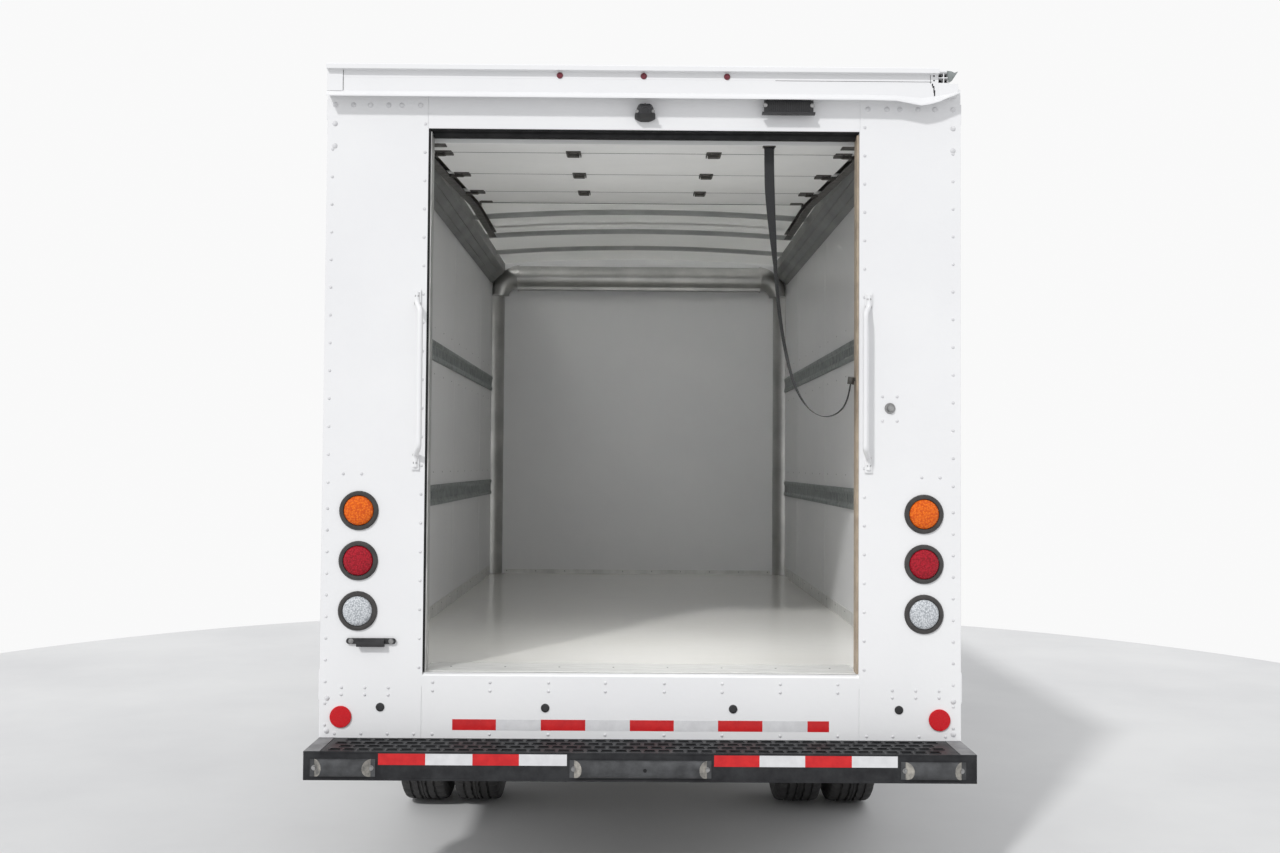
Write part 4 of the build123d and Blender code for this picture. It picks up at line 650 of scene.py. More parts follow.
# %% Work lamp
END_CAP = [(0.009, 0), (0.009, 0.004), (0.004, 0.006), (0, 0.006)]
bm = bmesh.new()
studs(bm, END_CAP, [at(x, -0.040, 2.172) for x in (0.461, 0.642)], REAR_FACE, 16)
finish_piece("work_lamp_bolts", bm, "bolt_steel", bevel=0.001)
bm = bmesh.new()
slab(bm, (0.457, -0.040, 2.143), (0.646, -0.034, 2.193))
slab(bm, (0.450, -0.044, 2.139), (0.653, -0.020, 2.147))
fins(bm, 24, 0.468, 0.0071, (0, -0.0435, 2.147), (0.0028, -0.039, 2.1935), at)
finish_piece("work_lamp_fins", bm, "black_plastic", bevel=0.0006)
print("rear fittings made")

# %% [markdown]
# ## Seals and jambs
# The edge of the opening is trimmed: a dark strip down the left jamb, which is painted shade, a tan
# strip down the right one, which is painted sunlight, and the black bottom seal of the rolled-up door
# across the top. The seal is a bulb, so it is drawn as a rounded outline and run across the opening.

# %% Seals
# Section of the bulb: distance behind the rear face, height above the load floor
BULB = [(0.034, 2.094), (0.034, 2.072), (0.040, 2.064), (0.052, 2.060), (0.066, 2.062)]
BULB += [(0.074, 2.068), (0.094, 2.068), (0.094, 2.094)]
bm = bmesh.new()
# The dark strip down the left jamb is painted shade.
slab(bm, (-HALF_OPENING, 0.004, 0.002), (-HALF_OPENING + 0.007, 0.060, 2.083))
bar(bm, BULB, -0.838, 0.838, lambda u, v, w: at(w, u, v))
slab(bm, (-HALF_OPENING, 0.006, 2.0795), (HALF_OPENING, 0.034, 2.084))
finish_piece("door_seals", bm, "seal_rubber", bevel=0.001)
bm = bmesh.new()
# The tan strip down the right jamb is painted sunlight.
slab(bm, (HALF_OPENING - 0.008, 0.012, 0.002), (HALF_OPENING, 0.070, 2.074))
finish_piece("right_jamb_strip", bm, "sunlit_tan_strip", bevel=0.001)
bm = bmesh.new()
slab(bm, (-HALF_OPENING + 0.007, 0.010, 0.002), (-HALF_OPENING + 0.012, 0.070, 2.074))
slab(bm, (-HALF_OPENING + 0.008, 0.0, 0.0005), (HALF_OPENING - 0.008, 0.003, 0.004))
finish_piece("left_jamb_strip", bm, "bare_alloy", bevel=0.0008)
print("seals and jamb strips made")

# %% [markdown]
# ## Roof rail and its broken end
# The rail across the rear is one folded section, but its right end has been hit. The end cap is
# gone, so two hollow cells with thin cross webs stand open, a torn flap of the cap points away, and
# the drip flange below has a dent with a crack above it. The section is drawn once and carried
# along the rail, and the dent is a dip of the flange's edge that comes and goes along the way.

# %% Rail with its dent
# Section: distance out from the rear face, height above the floor, share of the dent
RAIL = (
    (0.0, 2.208, 0.3),
    (0.060, 2.190, 1.0),
    (0.060, 2.196, 1.0),
    (0.038, 2.216, 0.5),
    (0.038, 2.268, 0.0),
    (0.0385, 2.2685, 0.0),
    (0.038, 2.296, 0.0),
    (0.060, 2.296, 0.0),
    (0.060, 2.313, 0.0),
    (0.054, 2.318, 0.0),
    (0.0, 2.318, 0.0),
)
# Past the face plate only the flange and a strip of the face are left, and they rise to the end
RAIL_STUB = RAIL[:4] + ((0.038, 2.262, 0.0), (0.0, 2.262, 0.0))
# Along the rail: x, drop of the flange's edge
DENTS = ((-1.213, 0.0), (-1.153, 0.0), (0.85, 0.0), (0.96, 0.002), (1.02, 0.013), (1.055, 0.020))
DENTS += ((1.09, 0.014), (1.125, 0.004))
STUB_DENTS = ((1.125, 0.004), (1.150, -0.008), (1.180, -0.020), (1.201, -0.030))
bm = bmesh.new()
for section, stations in ((RAIL, DENTS), (RAIL_STUB, STUB_DENTS)):
    skin(bm, [[at(x, -out, z - share * drop) for out, z, share in section] for x, drop in stations])
for low in (2.262, 2.2835, 2.303):
    slab(bm, (1.125, -0.037, low), (1.165, 0, low + 0.0035))
for x in (1.1445, 1.1615):
    slab(bm, (x, -0.036, 2.262), (x + 0.003, -0.004, 2.303))
slab(bm, (1.125, -0.040, 2.3065), (1.158, 0, 2.312))
slab(bm, (-1.213, -0.042, 2.215), (-1.153, -0.037, 2.297))
rail = finish_piece("bent_rail", bm, "box_paint", bevel=0.0012, sharp=30)
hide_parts("rear_rail")

# %% Torn flap, and painted shade in the crack, the open cells and along the rail
FLAP = ((1.166, 2.266), (1.176, 2.272), (1.200, 2.309), (1.186, 2.304), (1.176, 2.309), (1.158, 2.3115))
CRACK = ((1.100, 2.2615), (1.102, 2.252), (1.107, 2.246), (1.106, 2.236), (1.110, 2.226), (1.108, 2.214))
bm = bmesh.new()
skin(bm, [[at(x, -0.040, z) for x, z in FLAP], [at(x - 0.002, -0.036, z) for x, z in FLAP]])
finish_piece("torn_flap", bm, "zinc")
# Dark strips here are painted shade: inside the open cells, along the crack, and as lines along the rail's
# ends and fold.
bm = bmesh.new()
slab(bm, (1.1255, -0.003, 2.262), (1.166, -0.001, 2.306))
slab(bm, (-1.1535, -0.0388, 2.217), (-1.1515, -0.037, 2.296))
slab(bm, (1.0935, -0.0388, 2.262), (1.0950, -0.037, 2.294))
slab(bm, (0.50, -0.0388, 2.2672), (1.100, -0.037, 2.2682))
studs(bm, [(0.0035, 0), (0, 0.0004)], [at(1.108, -0.0384, z) for z in (2.291, 2.273)], REAR_FACE, 10)
for (x0, z0), (x1, z1) in zip(CRACK, CRACK[1:]):
    slab(bm, (min(x0, x1), -0.0392, z1), (max(x0, x1) + 0.0022, -0.037, z0))
finish_piece("rail_painted_shade", bm, "seal_rubber")
print("rail carried over", len(DENTS), "stations, with its right end open")

# %% [markdown]
# ## Inside walls and corners
# The load space is lined with smooth light-grey board. Where two walls or a wall and the roof
# meet, there is a round metal moulding: a cove along each roof edge, a round header across the
# front wall, a round post in each front corner, and a bent elbow where they meet. A moulding is
# one outline run along a line. The elbow is a round section swept about a hub, and it shrinks from
# the header's size to the post's on the way.

# %% Round header and corner posts
HEADER_Z = 2.157
HEADER_HALF = HALF_INSIDE - 0.184
POST_SIZE = 0.084
quarter = [0.5 * math.pi * i / 9 for i in range(10)]
pipe = [math.radians(-52 + 142 * i / 12) for i in range(13)]
# Sections of the header, and of the dark strip on its top edge that is painted shade: distance out from the
# front wall, height from its middle
HEADER = [(0, -0.090), (0.068, -0.090), (0.074, -0.071)]
HEADER += arc_points(0.090, 0.090, pipe, 0.034) + [(0, 0.090)]
HEADER_SHADE_LINE = [(0, 0.088), (0.052, 0.084), (0.056, 0.0945), (0, 0.0985)]
ELBOW_COLLAR = [(0, -0.095)] + arc_points(0.0965, 0.0965, pipe, 0.034) + [(0, 0.096)]
# Sections of the post and its foot ring: distances from the side wall and the front wall
POST = [(0, 0)] + arc_points(POST_SIZE, POST_SIZE, quarter)
POST_COLLAR = [(0, 0)] + arc_points(0.116, 0.088, quarter)


def off_wall(side):
    """Places by their distance in from a side wall, how far ahead and how high they are."""
    return lambda depth, y, z: at(side * (HALF_INSIDE - depth), y, z)


def off_front(x, depth, z):
    """A point by its distance back from the front wall's lining."""
    return at(x, INSIDE_LENGTH - 0.001 - depth, z)


def by_header(u, v, w):
    """A point of a section that runs across the front wall."""
    return off_front(w, u, HEADER_Z + v)


def by_post(side):
    """Places for a section that stands in a front corner."""
    return lambda u, v, w: off_front(side * (HALF_INSIDE - 0.001 - u), v, w)


bm = bmesh.new()
for side in (-1, 1):
    bar(bm, POST, 0.002, HEADER_Z - 0.138, by_post(side))
finish_piece("front_corner_posts", bm, "corner_metal", sharp=50)
bm = bmesh.new()
bar(bm, HEADER, -HEADER_HALF, HEADER_HALF, by_header)
header = finish_piece("front_header", bm, "corner_metal", sharp=42)
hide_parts("corner_mouldings")

# %% Elbows
BEND = 0.128
ELBOW_STEPS = 14
bm = bmesh.new()
for side in (-1, 1):
    rings = []
    for i in range(ELBOW_STEPS + 1):
        share = i / ELBOW_STEPS
        turn = math.radians(-4 + 98 * share)
        thick = 0.094 - 0.034 * share
        out = 0.034 - 0.012 * share
        ring = []
        for around in [math.radians(-100 + 200 * k / 16) for k in range(17)]:
            reach = BEND + thick * math.sin(around)
            x = min(HEADER_HALF + reach * math.sin(turn), HALF_INSIDE - 0.0015)
            z = min(HEADER_Z - 0.126 + reach * math.cos(turn), HEADER_Z + 0.100)
            ring.append(off_front(side * x, max(out + thick * math.cos(around), 0.0), z))
        rings.append(ring)
    skin(bm, rings, wrap=False)
finish_piece("corner_elbows", bm, "corner_metal", sharp=60)
bm = bmesh.new()
for side in (-1, 1):
    start = side * (HALF_INSIDE - 0.188)
    bar(bm, ELBOW_COLLAR, start, start + side * 0.006, by_header)
    bar(bm, POST_COLLAR, HEADER_Z - 0.134, HEADER_Z - 0.128, by_post(side))
finish_piece("elbow_rings", bm, "corner_metal", sharp=50)
# A dark steel strip along the header's top edge is painted shade where the header meets the roof.
bm = bmesh.new()
bar(bm, HEADER_SHADE_LINE, -HALF_INSIDE + 0.186, HALF_INSIDE - 0.186, by_header)
finish_piece("header_shade_line", bm, "hinge_steel")
print("header, posts and elbows made")

# %% [markdown]
# ## Roof bows
# The roof sheet lies on bent strips of hat section: two thin flanges against the sheet and a
# shallow channel between them. From below, a bow reads as two thin lines, where a plain square bar
# reads as a thick band, so the bows are drawn with their real section along the roof's curve.

# %% Roof bows and cove mouldings
# Roof bows and wall posts are 24 inches apart
BAY = 0.6096
BOWS = 6
HAT = [(-0.030, 0), (-0.030, -0.003), (-0.014, -0.003), (-0.010, -0.024), (0.010, -0.024), (0.014, -0.003)]
HAT += [(0.030, -0.003), (0.030, 0)]
COVE = [(0, 0), (0.028, 0.024), (0.034, 0.022), (0.066, 0.054), (0.072, 0.052), (0.096, 0.080)]
COVE += [(0.096, 0.094), (0, 0.094)]


def roof_drop(x):
    """How much lower the crowned roof is at x than in its middle."""
    return 0.037 * (x / 0.977) ** 2


bm = bmesh.new()
for y in [3.772 - BAY * i for i in range(BOWS)]:
    across = [-0.976 + 1.952 * k / 24 for k in range(25)]
    skin(bm, [[at(x, y + u, 2.2885 - roof_drop(x) + v) for u, v in HAT] for x in across])
bows = finish_piece("hat_bows", bm, "bow_paint", sharp=30)
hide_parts("roof_bows")
bm = bmesh.new()
for side in (-1, 1):
    wall = off_wall(side)
    bar(bm, COVE, 0.120, INSIDE_LENGTH - 0.16, lambda u, v, w: wall(0.0005 + u, w, 2.101 + v))
# The coves are painted dark grey: painted shade along the roof edges.
finish_piece("cove_mouldings", bm, "shaded_cove_metal", sharp=20)
print("bows", BOWS, "of hat section, and coves of", round(INSIDE_LENGTH - 0.28, 2), "m")

# %% [markdown]
# ## Load tracks
# Two galvanised tracks run along each side wall. A track is a folded strip with a raised lip above
# and below and a sunken web, and the web is punched all along with upright slots that the ends of
# load straps click into. The slots are real openings here, so the strip is built cell by cell, one
# cell for each slot, over a dark sheet that is painted shade behind the slots.

# %% Load tracks
TRACK_BANDS = ((0.577, 0.684), (1.325, 1.427))
TRACK_START, TRACK_STOP = 0.120, INSIDE_LENGTH - 0.101
SLOT_PITCH = 0.0508
SLOT_HALF = 0.021
WEB = 0.008
LIP_TALL = 0.026
# Section of a lip: distance from the wall, distance from the track's edge
TRACK_LIP = ((0, 0), (0.012, 0.002), (0.0135, 0.012), (0.0135, 0.018), (WEB, LIP_TALL), (0, LIP_TALL))
bm = bmesh.new()
back = bmesh.new()
cells = [TRACK_START + i * SLOT_PITCH for i in range(int((TRACK_STOP - TRACK_START) / SLOT_PITCH))]
for side in (-1, 1):
    wall = off_wall(side)
    for low, high in TRACK_BANDS:
        for edge, way in ((low, 1), (high, -1)):
            bar(bm, TRACK_LIP, TRACK_START, TRACK_STOP, lambda u, v, w: wall(u, w, edge + way * v))
        z0, z1 = low + LIP_TALL, high - LIP_TALL
        m0, m1 = (low + high) / 2 - SLOT_HALF, (low + high) / 2 + SLOT_HALF
        for a in cells:
            b, s0, s1 = a + SLOT_PITCH, a + 0.016, a + 0.035
            cell = ((a, z0), (b, z0), (b, z1), (a, z1))
            hole = ((s0, m0), (s1, m0), (s1, m1), (s0, m1))
            depths = ((WEB, cell), (WEB, hole), (WEB - 0.003, hole))
            skin(bm, [[wall(depth, *p) for p in ring] for depth, ring in depths], caps=())
        # The dark sheet behind the slots is painted shade.
        slab(back, (0.001, TRACK_START, z0), (0.003, TRACK_STOP, z1), wall)
tracks = finish_piece("slotted_tracks", bm, "zinc", sharp=30)
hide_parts("wall_tracks")
finish_piece("slot_shade_backing", back, "seal_rubber")
print("slots", 2 * len(TRACK_BANDS) * len(cells))

# %% [markdown]
# ## Liner joints and screws
# The liner comes in boards, and a fine raised line shows each joint between them. Rows of small
# screws hold the boards, the kick strip at the foot of each wall, the base strip of the front wall
# and the metal threshold plate at the door. The joint lines stop at the tracks, as real ones do.

# %% Liner joints and wall screws
SCREW = [(0.0045, 0), (0.003, 0.0016), (0, 0.002)]
bm = bmesh.new()
for side in (-1, 1):
    for y in (1.22, 2.44, 3.66):
        for low, high in ((0.064, 0.575), (0.686, 1.323), (1.429, 2.10)):
            slab(bm, (0.0012, y, low), (0, y + 0.0016, high), off_wall(side))
finish_piece("liner_joints", bm, "liner")
bm = bmesh.new()
for side in (-1, 1):
    wall = off_wall(side)
    for z, depth in ((0.045, 0.004), (0.75, 0), (1.26, 0), (1.50, 0)):
        studs(bm, SCREW, [wall(depth, y, z) for y in spread(0.20, 4.15, 0.30)], (-side, 0, 0), 6)
places = spread(-0.95, 0.95, 0.20)
studs(bm, SCREW, [at(x, INSIDE_LENGTH - 0.0043, 0.018) for x in places], REAR_FACE, 6)
studs(bm, SCREW, [at(x, 0.13, 0.003) for x in places], (0, 0, 1), 6)
finish_piece("liner_screws", bm, "bolt_steel")
print("screws across the front wall and the threshold", len(places))

# %% [markdown]
# ## Open door under the roof
# The rolled-up door is four flat panels with thin gaps between them. Small dark steel hinges join
# the panels, two in the middle of each joint and one at each end with its roller, which runs in the
# track. They are what breaks up the pale underside, so they are modelled in full: a leaf on each
# side, a knuckle, and bolt heads.

# %% Door hinges and rollers
DOOR_SLOPE = 0.0725
DOOR_JOINTS = (0.300, 0.850, 1.400)
HINGE_BOLT = [(0.0055, 0), (0.005, 0.0035), (0, 0.004)]


def by_joint(y):
    """Places by x, and by how far ahead of y and how far above the door's underside they are."""
    return lambda x, ahead, rise: at(x, y + ahead, 2.045 + y * DOOR_SLOPE + rise)


bm = bmesh.new()
for spot in map(by_joint, DOOR_JOINTS):
    for x in (-0.286, 0.286):
        slab(bm, (x - 0.030, -0.046, -0.0085), (x + 0.030, -0.006, -0.001), spot)
        slab(bm, (x - 0.030, 0.006, -0.0075), (x + 0.030, 0.046, 0.002), spot)
        turned(bm, rod(0.008, 0.048), spot(x - 0.024, 0, -0.012), (1, 0, 0), 12)
        bolts = [spot(x + dx, dy, -0.0085) for dx in (-0.018, 0.018) for dy in (-0.030, 0.030)]
        studs(bm, HINGE_BOLT, bolts, (0, 0, -1), 6)
    for side in (-1, 1):
        x, track = side * 0.815, side * 0.846
        slab(bm, (x - 0.034, -0.040, -0.0065), (x + 0.034, -0.004, -0.001), spot)
        slab(bm, (x - 0.034, 0.004, -0.0055), (x + 0.034, 0.040, 0.002), spot)
        slab(bm, (track - 0.004, -0.016, -0.022), (track + 0.004, 0.016, -0.002), spot)
        turned(bm, rod(0.006, 0.062), spot(side * 0.812, 0, -0.012), (side, 0, 0), 10)
        studs(bm, HINGE_BOLT, [spot(x, dy, -0.0065) for dy in (-0.024, 0.024)], (0, 0, -1), 6)
# The door's two ends
for spot in map(by_joint, (0.135, 1.770)):
    for side in (-1, 1):
        x, track = side * 0.812, side * 0.846
        slab(bm, (x - 0.030, -0.028, -0.0035), (x + 0.030, 0.028, -0.0005), spot)
        slab(bm, (track - 0.004, -0.018, -0.020), (track + 0.004, 0.018, -0.002), spot)
finish_piece("door_hinges", bm, "hinge_steel", bevel=0.0012)
bm = bmesh.new()
for y in DOOR_JOINTS:
    slab(bm, (-0.855, -0.0022, -0.0006), (0.855, 0.0022, 0.004), by_joint(y))
slab(bm, (-0.855, -0.010, -0.0012), (0.855, 0.001, 0.002), by_joint(1.82))
finish_piece("door_joints", bm, "seal_rubber")

# %% [markdown]
# ## Rear bumper
# The step bumper is black steel with a punched grip deck. The CAD parts already have the face and
# the deck with its slots. What they lack is the raised teeth round each slot that give a boot its
# grip, the thin folds along the face's edges, and the worn grey end plates.

# %% Grip teeth and bumper trim
BUMPER_HALF = 1.217
DECK_HALF = BUMPER_HALF - 0.060
SLOT_STEP = 0.052
SLOT_ROWS = 4
GRIP_FRONT = -BUMPER_OUT + 0.0063 + 0.028
GRIP_BACK = -0.0063 - 0.028
# Teeth round a slot: low corner, high corner, height
TEETH = (
    (-0.021, -0.0125, 0.021, -0.010, 0.0025),
    (-0.021, 0.010, 0.021, 0.0125, 0.0025),
    (-0.0205, -0.010, -0.018, 0.010, 0.0018),
    (0.018, -0.010, 0.0205, 0.010, 0.0018),
)


def on_bumper(x, y, z):
    """A point so high above the bumper's top."""
    return place(x, y, BUMPER_TOP + z)


slot_count = int((2 * DECK_HALF - 0.040) // SLOT_STEP)
bm = bmesh.new()
for row in range(SLOT_ROWS):
    y = GRIP_FRONT + row * (GRIP_BACK - GRIP_FRONT) / (SLOT_ROWS - 1)
    for i in range(slot_count):
        x = -DECK_HALF + 0.046 + i * SLOT_STEP + (row % 2) * SLOT_STEP / 2
        if x > DECK_HALF - 0.030:
            continue
        for x0, y0, x1, y1, rise in TEETH:
            slab(bm, (x + x0, y + y0, -0.004), (x + x1, y + y1, rise), on_bumper)
finish_piece("grip_teeth", bm, "step_steel")
bm = bmesh.new()
for side in (-1, 1):
    slab(bm, (side * BUMPER_HALF, -BUMPER_OUT, -0.001), (side * 1.159, -0.0005, 0.001), on_bumper)
finish_piece("bumper_end_plates", bm, "end_plate", bevel=0.0008)
bm = bmesh.new()
for low, high in ((-0.103, -0.095), (-0.006, 0.001)):
    slab(bm, (-BUMPER_HALF, -BUMPER_OUT - 0.0015, low), (BUMPER_HALF, -BUMPER_OUT, high), on_bumper)
finish_piece("bumper_folds", bm, "step_steel", bevel=0.0007)
print("grip rows", SLOT_ROWS, "of", slot_count)

# %% [markdown]
# ## Rubber pads
# Three half-round rubber bars on the bumper's face meet the loading dock. Each is cut from a long
# extrusion and mitred at both ends, held by a bolt on a flat tab, and its cut faces are painted pale
# as a painted highlight. The CAD bars are plain blocks, so these are drawn over them: one half-oval
# outline run along the bar whose ends lean inward, with the mitre's face as a skin of its own.

# %% Pads
PAD_DEEP = 0.0245
PAD_Z = -0.3045
PAD_NUT = [(0.0095, 0), (0.0095, 0.0012), (0.0060, 0.0012), (0.0055, 0.006), (0, 0.006)]
half_turn = [math.radians(-90 + 180 * i / 18) for i in range(19)]
oval = [(PAD_DEEP * abs(math.cos(a)) ** 0.8, PAD_Z + 0.0315 * math.sin(a)) for a in half_turn]
rubber = bmesh.new()
ends = bmesh.new()
nuts = bmesh.new()
# Pads: low end, high end
for low, high in ((-1.192, -0.957), (-0.256, 0.256), (0.942, 1.177)):
    loops = []
    for edge, inward in ((low, 1), (high, -1)):
        cut = [(edge + inward * (0.014 + 0.030 * v / PAD_DEEP), -BUMPER_OUT - v, w) for v, w in oval]
        loops.append([at(*point) for point in cut])
        skin(ends, [[at(x + inward * shift, y, z) for x, y, z in cut] for shift in (-0.0004, 0.0006)])
        tab = edge + inward * 0.016
        slab(rubber, (edge, -BUMPER_OUT - 0.003, -0.336), (tab, -BUMPER_OUT - 0.0003, -0.273))
        turned(nuts, PAD_NUT, at(edge + inward * 0.015, -BUMPER_OUT - 0.003, PAD_Z), REAR_FACE, 20)
    skin(rubber, loops)
pads = finish_piece("dock_bars", rubber, "pad_rubber", sharp=40)
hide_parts("dock_pads")
# The mitred ends are painted pale: a painted highlight on their cut faces.
finish_piece("pad_ends", ends, "pale_highlight_rubber")
finish_piece("pad_washers", nuts, "bolt_steel")
# A dark disc on the middle pad is painted shade in its bolt hole.
bm = bmesh.new()
hole = at(0.016, -BUMPER_OUT - PAD_DEEP + 0.0004, -0.304)
turned(bm, [(0, 0), (0.0072, 0), (0.0064, 0.0008), (0, 0.0008)], hole, REAR_FACE, 20)
finish_piece("pad_hole_shade", bm, "seal_rubber")
print("three half-round pads made")

# %% [markdown]
# ## Tyres
# A truck tyre's tread has four grooves round it, cross cuts in the shoulders and zigzag edges in
# the middle ribs. Its side wall bulges and carries a few fine rings. A tyre is one profile turned
# about its axle, but the tread changes with the angle. So the profile is repeated at 144 angles,
# and points in the tread move in, or sideways, where that angle falls on a cut.

# %% Tyres
TREAD_STEPS = 144
SHOULDER_CUT = 0.0085
RIB_CUT = 0.004
ZIGZAG = 0.0018
HALF_PROFILE = [
    (-0.0820, 0.2050), (-0.0820, 0.2240), (-0.0920, 0.2320), (-0.1030, 0.2400), (-0.1045, 0.2440),
    (-0.1040, 0.2470), (-0.1085, 0.2640), (-0.1112, 0.2860), (-0.1112, 0.3020), (-0.1100, 0.3180),
    (-0.1112, 0.3215), (-0.1098, 0.3250), (-0.1065, 0.3420), (-0.1038, 0.3520), (-0.0985, 0.3620),
    (-0.0900, 0.3672), (-0.0800, 0.3695), (-0.0620, 0.3706), (-0.0600, 0.3600), (-0.0520, 0.3600),
    (-0.0500, 0.3712), (-0.0370, 0.3716), (-0.0240, 0.3718), (-0.0220, 0.3605), (-0.0140, 0.3605),
    (-0.0120, 0.3719), (-0.0030, 0.3720), (-0.0020, 0.3680), (0.0000, 0.3680),
]
PROFILE = HALF_PROFILE + [(-x, r) for x, r in reversed(HALF_PROFILE[:-1])]


def tyre_mesh(bm, x, y):
    """One tyre about the point x across, y along, standing on the ground."""
    rings = []
    for i in range(TREAD_STEPS):
        angle = 2 * math.pi * i / TREAD_STEPS
        ring = []
        for u, r in PROFILE:
            side = 1 if u > 0 else -1
            if abs(u) > 0.0615 and r > 0.35 and (i + side + 1) % 4 == 0:
                r -= SHOULDER_CUT
            elif 0.010 < abs(u) < 0.0515 and r > 0.37:
                u += side * (ZIGZAG if (i // 2) % 2 else -ZIGZAG)
                if i % 6 == 0:
                    r -= RIB_CUT
            ring.append(place(x + u, y + r * math.cos(angle), WHEEL_R + r * math.sin(angle)))
        rings.append(ring)
    skin(bm, rings, caps=(), loop=True)


TYRES = {
    "front_right_tyre": ("front_right_wheel", [0.865], FRONT_AXLE),
    "front_left_tyre": ("front_left_wheel", [-0.865], FRONT_AXLE),
    "rear_right_tyres": ("rear_right_wheels", [0.7775, 1.0325], REAR_AXLE),
    "rear_left_tyres": ("rear_left_wheels", [-0.7775, -1.0325], REAR_AXLE),
}
for name, (body, places, axle) in TYRES.items():
    bm = bmesh.new()
    for x in places:
        tyre_mesh(bm, x, axle)
    tread = finish_piece(name.replace("tyre", "tread"), bm, "tyre_rubber", body, sharp=28)
    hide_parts(name)
    print(name, len(tread.data.polygons), "faces")

# %% [markdown]
# ## Wheel nuts and hubs
# The steel wheels are held by eight chrome-plated nuts on a ring of studs. Each front hub has a
# domed grease cap, and each rear hub a flange with small bolts round it. Nuts are six-sided with a
# washer under them, so they are turned with six steps, and the rim edge gets a valve.

# %% Wheel nuts
STUD_CIRCLE = 0.0825
WASHER = [(0.0185, 0), (0.0185, 0.004), (0, 0.004)]
NUT = [(0.0160, 0.004), (0.0160, 0.022), (0.0130, 0.026), (0, 0.0262)]
GREASE_CAP = [(0.060, -0.001), (0.061, 0.002), (0.048, 0.004), (0.043, 0.020)]
GREASE_CAP += [(0.036, 0.030), (0.020, 0.036), (0, 0.037)]
FLANGE = [(0.0605, -0.001), (0.061, 0.006), (0.050, 0.0085), (0.046, 0.016), (0, 0.018)]
FLANGE_BOLT = [(0.0055, 0), (0.0055, 0.006), (0, 0.0065)]
VALVE = [(0.0045, 0), (0.0045, 0.030), (0.006, 0.031), (0.006, 0.038), (0, 0.039)]
eighths = [math.radians(45 * i) for i in range(8)]
stud_ring = arc_points(STUD_CIRCLE, STUD_CIRCLE, [a + math.radians(22.5) for a in eighths])
for side, word in SIDES:
    out = (side, 0, 0)
    # Body, place of its axle, x of the wheel's disc, how far the hub stands out, its cap
    for body, axle, seat, stand, cap in (
        (f"front_{word}_wheel", FRONT_AXLE, 0.9925, 0.033, GREASE_CAP),
        (f"rear_{word}_wheels", REAR_AXLE, 0.9165, 0.0925, FLANGE),
    ):
        bm = bmesh.new()
        spots = [place(side * (seat + 0.001), axle + u, WHEEL_R + v) for u, v in stud_ring]
        studs(bm, WASHER, spots, out, 18)
        studs(bm, NUT, spots, out, 6)
        hub = place(side * (seat + stand), axle, WHEEL_R)
        turned(bm, cap, hub, out, 36)
        if cap is FLANGE:
            bolts = [hub + Vector((side * 0.006, u, v)) for u, v in arc_points(0.052, 0.052, eighths)]
            studs(bm, FLANGE_BOLT, bolts, out, 6)
        turned(bm, VALVE, place(side * (seat - 0.018), axle + 0.130, WHEEL_R + 0.095), out, 10)
        finish_piece(body + "_nuts", bm, "plated_steel", body)
print("wheel nuts on four hubs")

# %% [markdown]
# ## Cab glass and seals
# A windshield sits in a black rubber gasket, and each door window slides in a black channel. The
# gasket follows the opening's outline on the sloped glass, so it is a ribbon laid along that
# outline, found by walking round its corners and laying a small square section at each point.

# %% Gaskets
CAB_BELT = 1.345


def ribbon(bm, points, across, width, rise):
    """A closed strip of the given width and rise that follows the points."""
    section = ((-width / 2, 0), (width / 2, 0), (width / 2, rise), (-width / 2, rise))
    rows = []
    for i, point in enumerate(points):
        along = (points[(i + 1) % len(points)] - points[i - 1]).normalized()
        side = along.cross(across).normalized()
        rows.append([point + side * u + across * v for u, v in section])
    skin(bm, rows, caps=(), loop=True)


def rounded(corners, steps=5):
    """Corners (u, v, r) turned into points with each corner rounded."""
    found = []
    count = len(corners)
    for i, (u, v, r) in enumerate(corners):
        here = Vector((u, v))
        before = (Vector(corners[i - 1][:2]) - here).normalized()
        after = (Vector(corners[(i + 1) % count][:2]) - here).normalized()
        for share in [k / steps for k in range(steps + 1)]:
            found.append((here + before * r * (1 - share)).lerp(here + after * r * share, share))
    return found


def cab_side(z):
    """Half width of the cab's skin at a height above its belt line."""
    return 1.003 - (z - CAB_BELT) * 0.143 / 0.733


def screen_point(x, z):
    """Point of the windshield's face at a height and a place across."""
    return place(x, 6.038 - (z - CAB_BELT) * 0.580 / 0.700, z)


screen_normal = Vector((0, 0.700, 0.580)).normalized()
SCREEN = [(-0.806, 1.402, 0.05), (0.806, 1.402, 0.05), (0.728, 1.958, 0.06), (-0.728, 1.958, 0.06)]
WINDOW = [(4.752, 1.412, 0.04), (5.650, 1.412, 0.03), (5.342, 1.903, 0.05), (4.752, 1.903, 0.05)]
bm = bmesh.new()
ribbon(bm, [screen_point(u, v) for u, v in rounded(SCREEN)], screen_normal, 0.028, 0.006)
finish_piece("windshield_gasket", bm, "seal_rubber", sharp=60)
for side, word in SIDES:
    bm = bmesh.new()
    window = [place(side * (cab_side(v) - 0.022), u, v) for u, v in rounded(WINDOW)]
    ribbon(bm, window, Vector((side, 0, 0.19)).normalized(), 0.024, 0.012)
    sill = side * (cab_side(1.40) - 0.012)
    slab(bm, (sill - 0.004, 4.752, 1.398), (sill + 0.004, 5.650, 1.410), place)
    finish_piece(word + "_window_seal", bm, "seal_rubber", word + "_door", sharp=60)
print("gaskets on the windshield and two doors")

# %% [markdown]
# ## Cab front trim
# The nose has two headlamps with fluted lenses, a black grille with thin upright bars, and small
# amber lamps on the fenders. The cowl has vents, wiper arms rest on it, and five amber lamps stand
# on the roof. The wipers are thin bars that follow the glass, and the roof lamps are low turned
# domes.

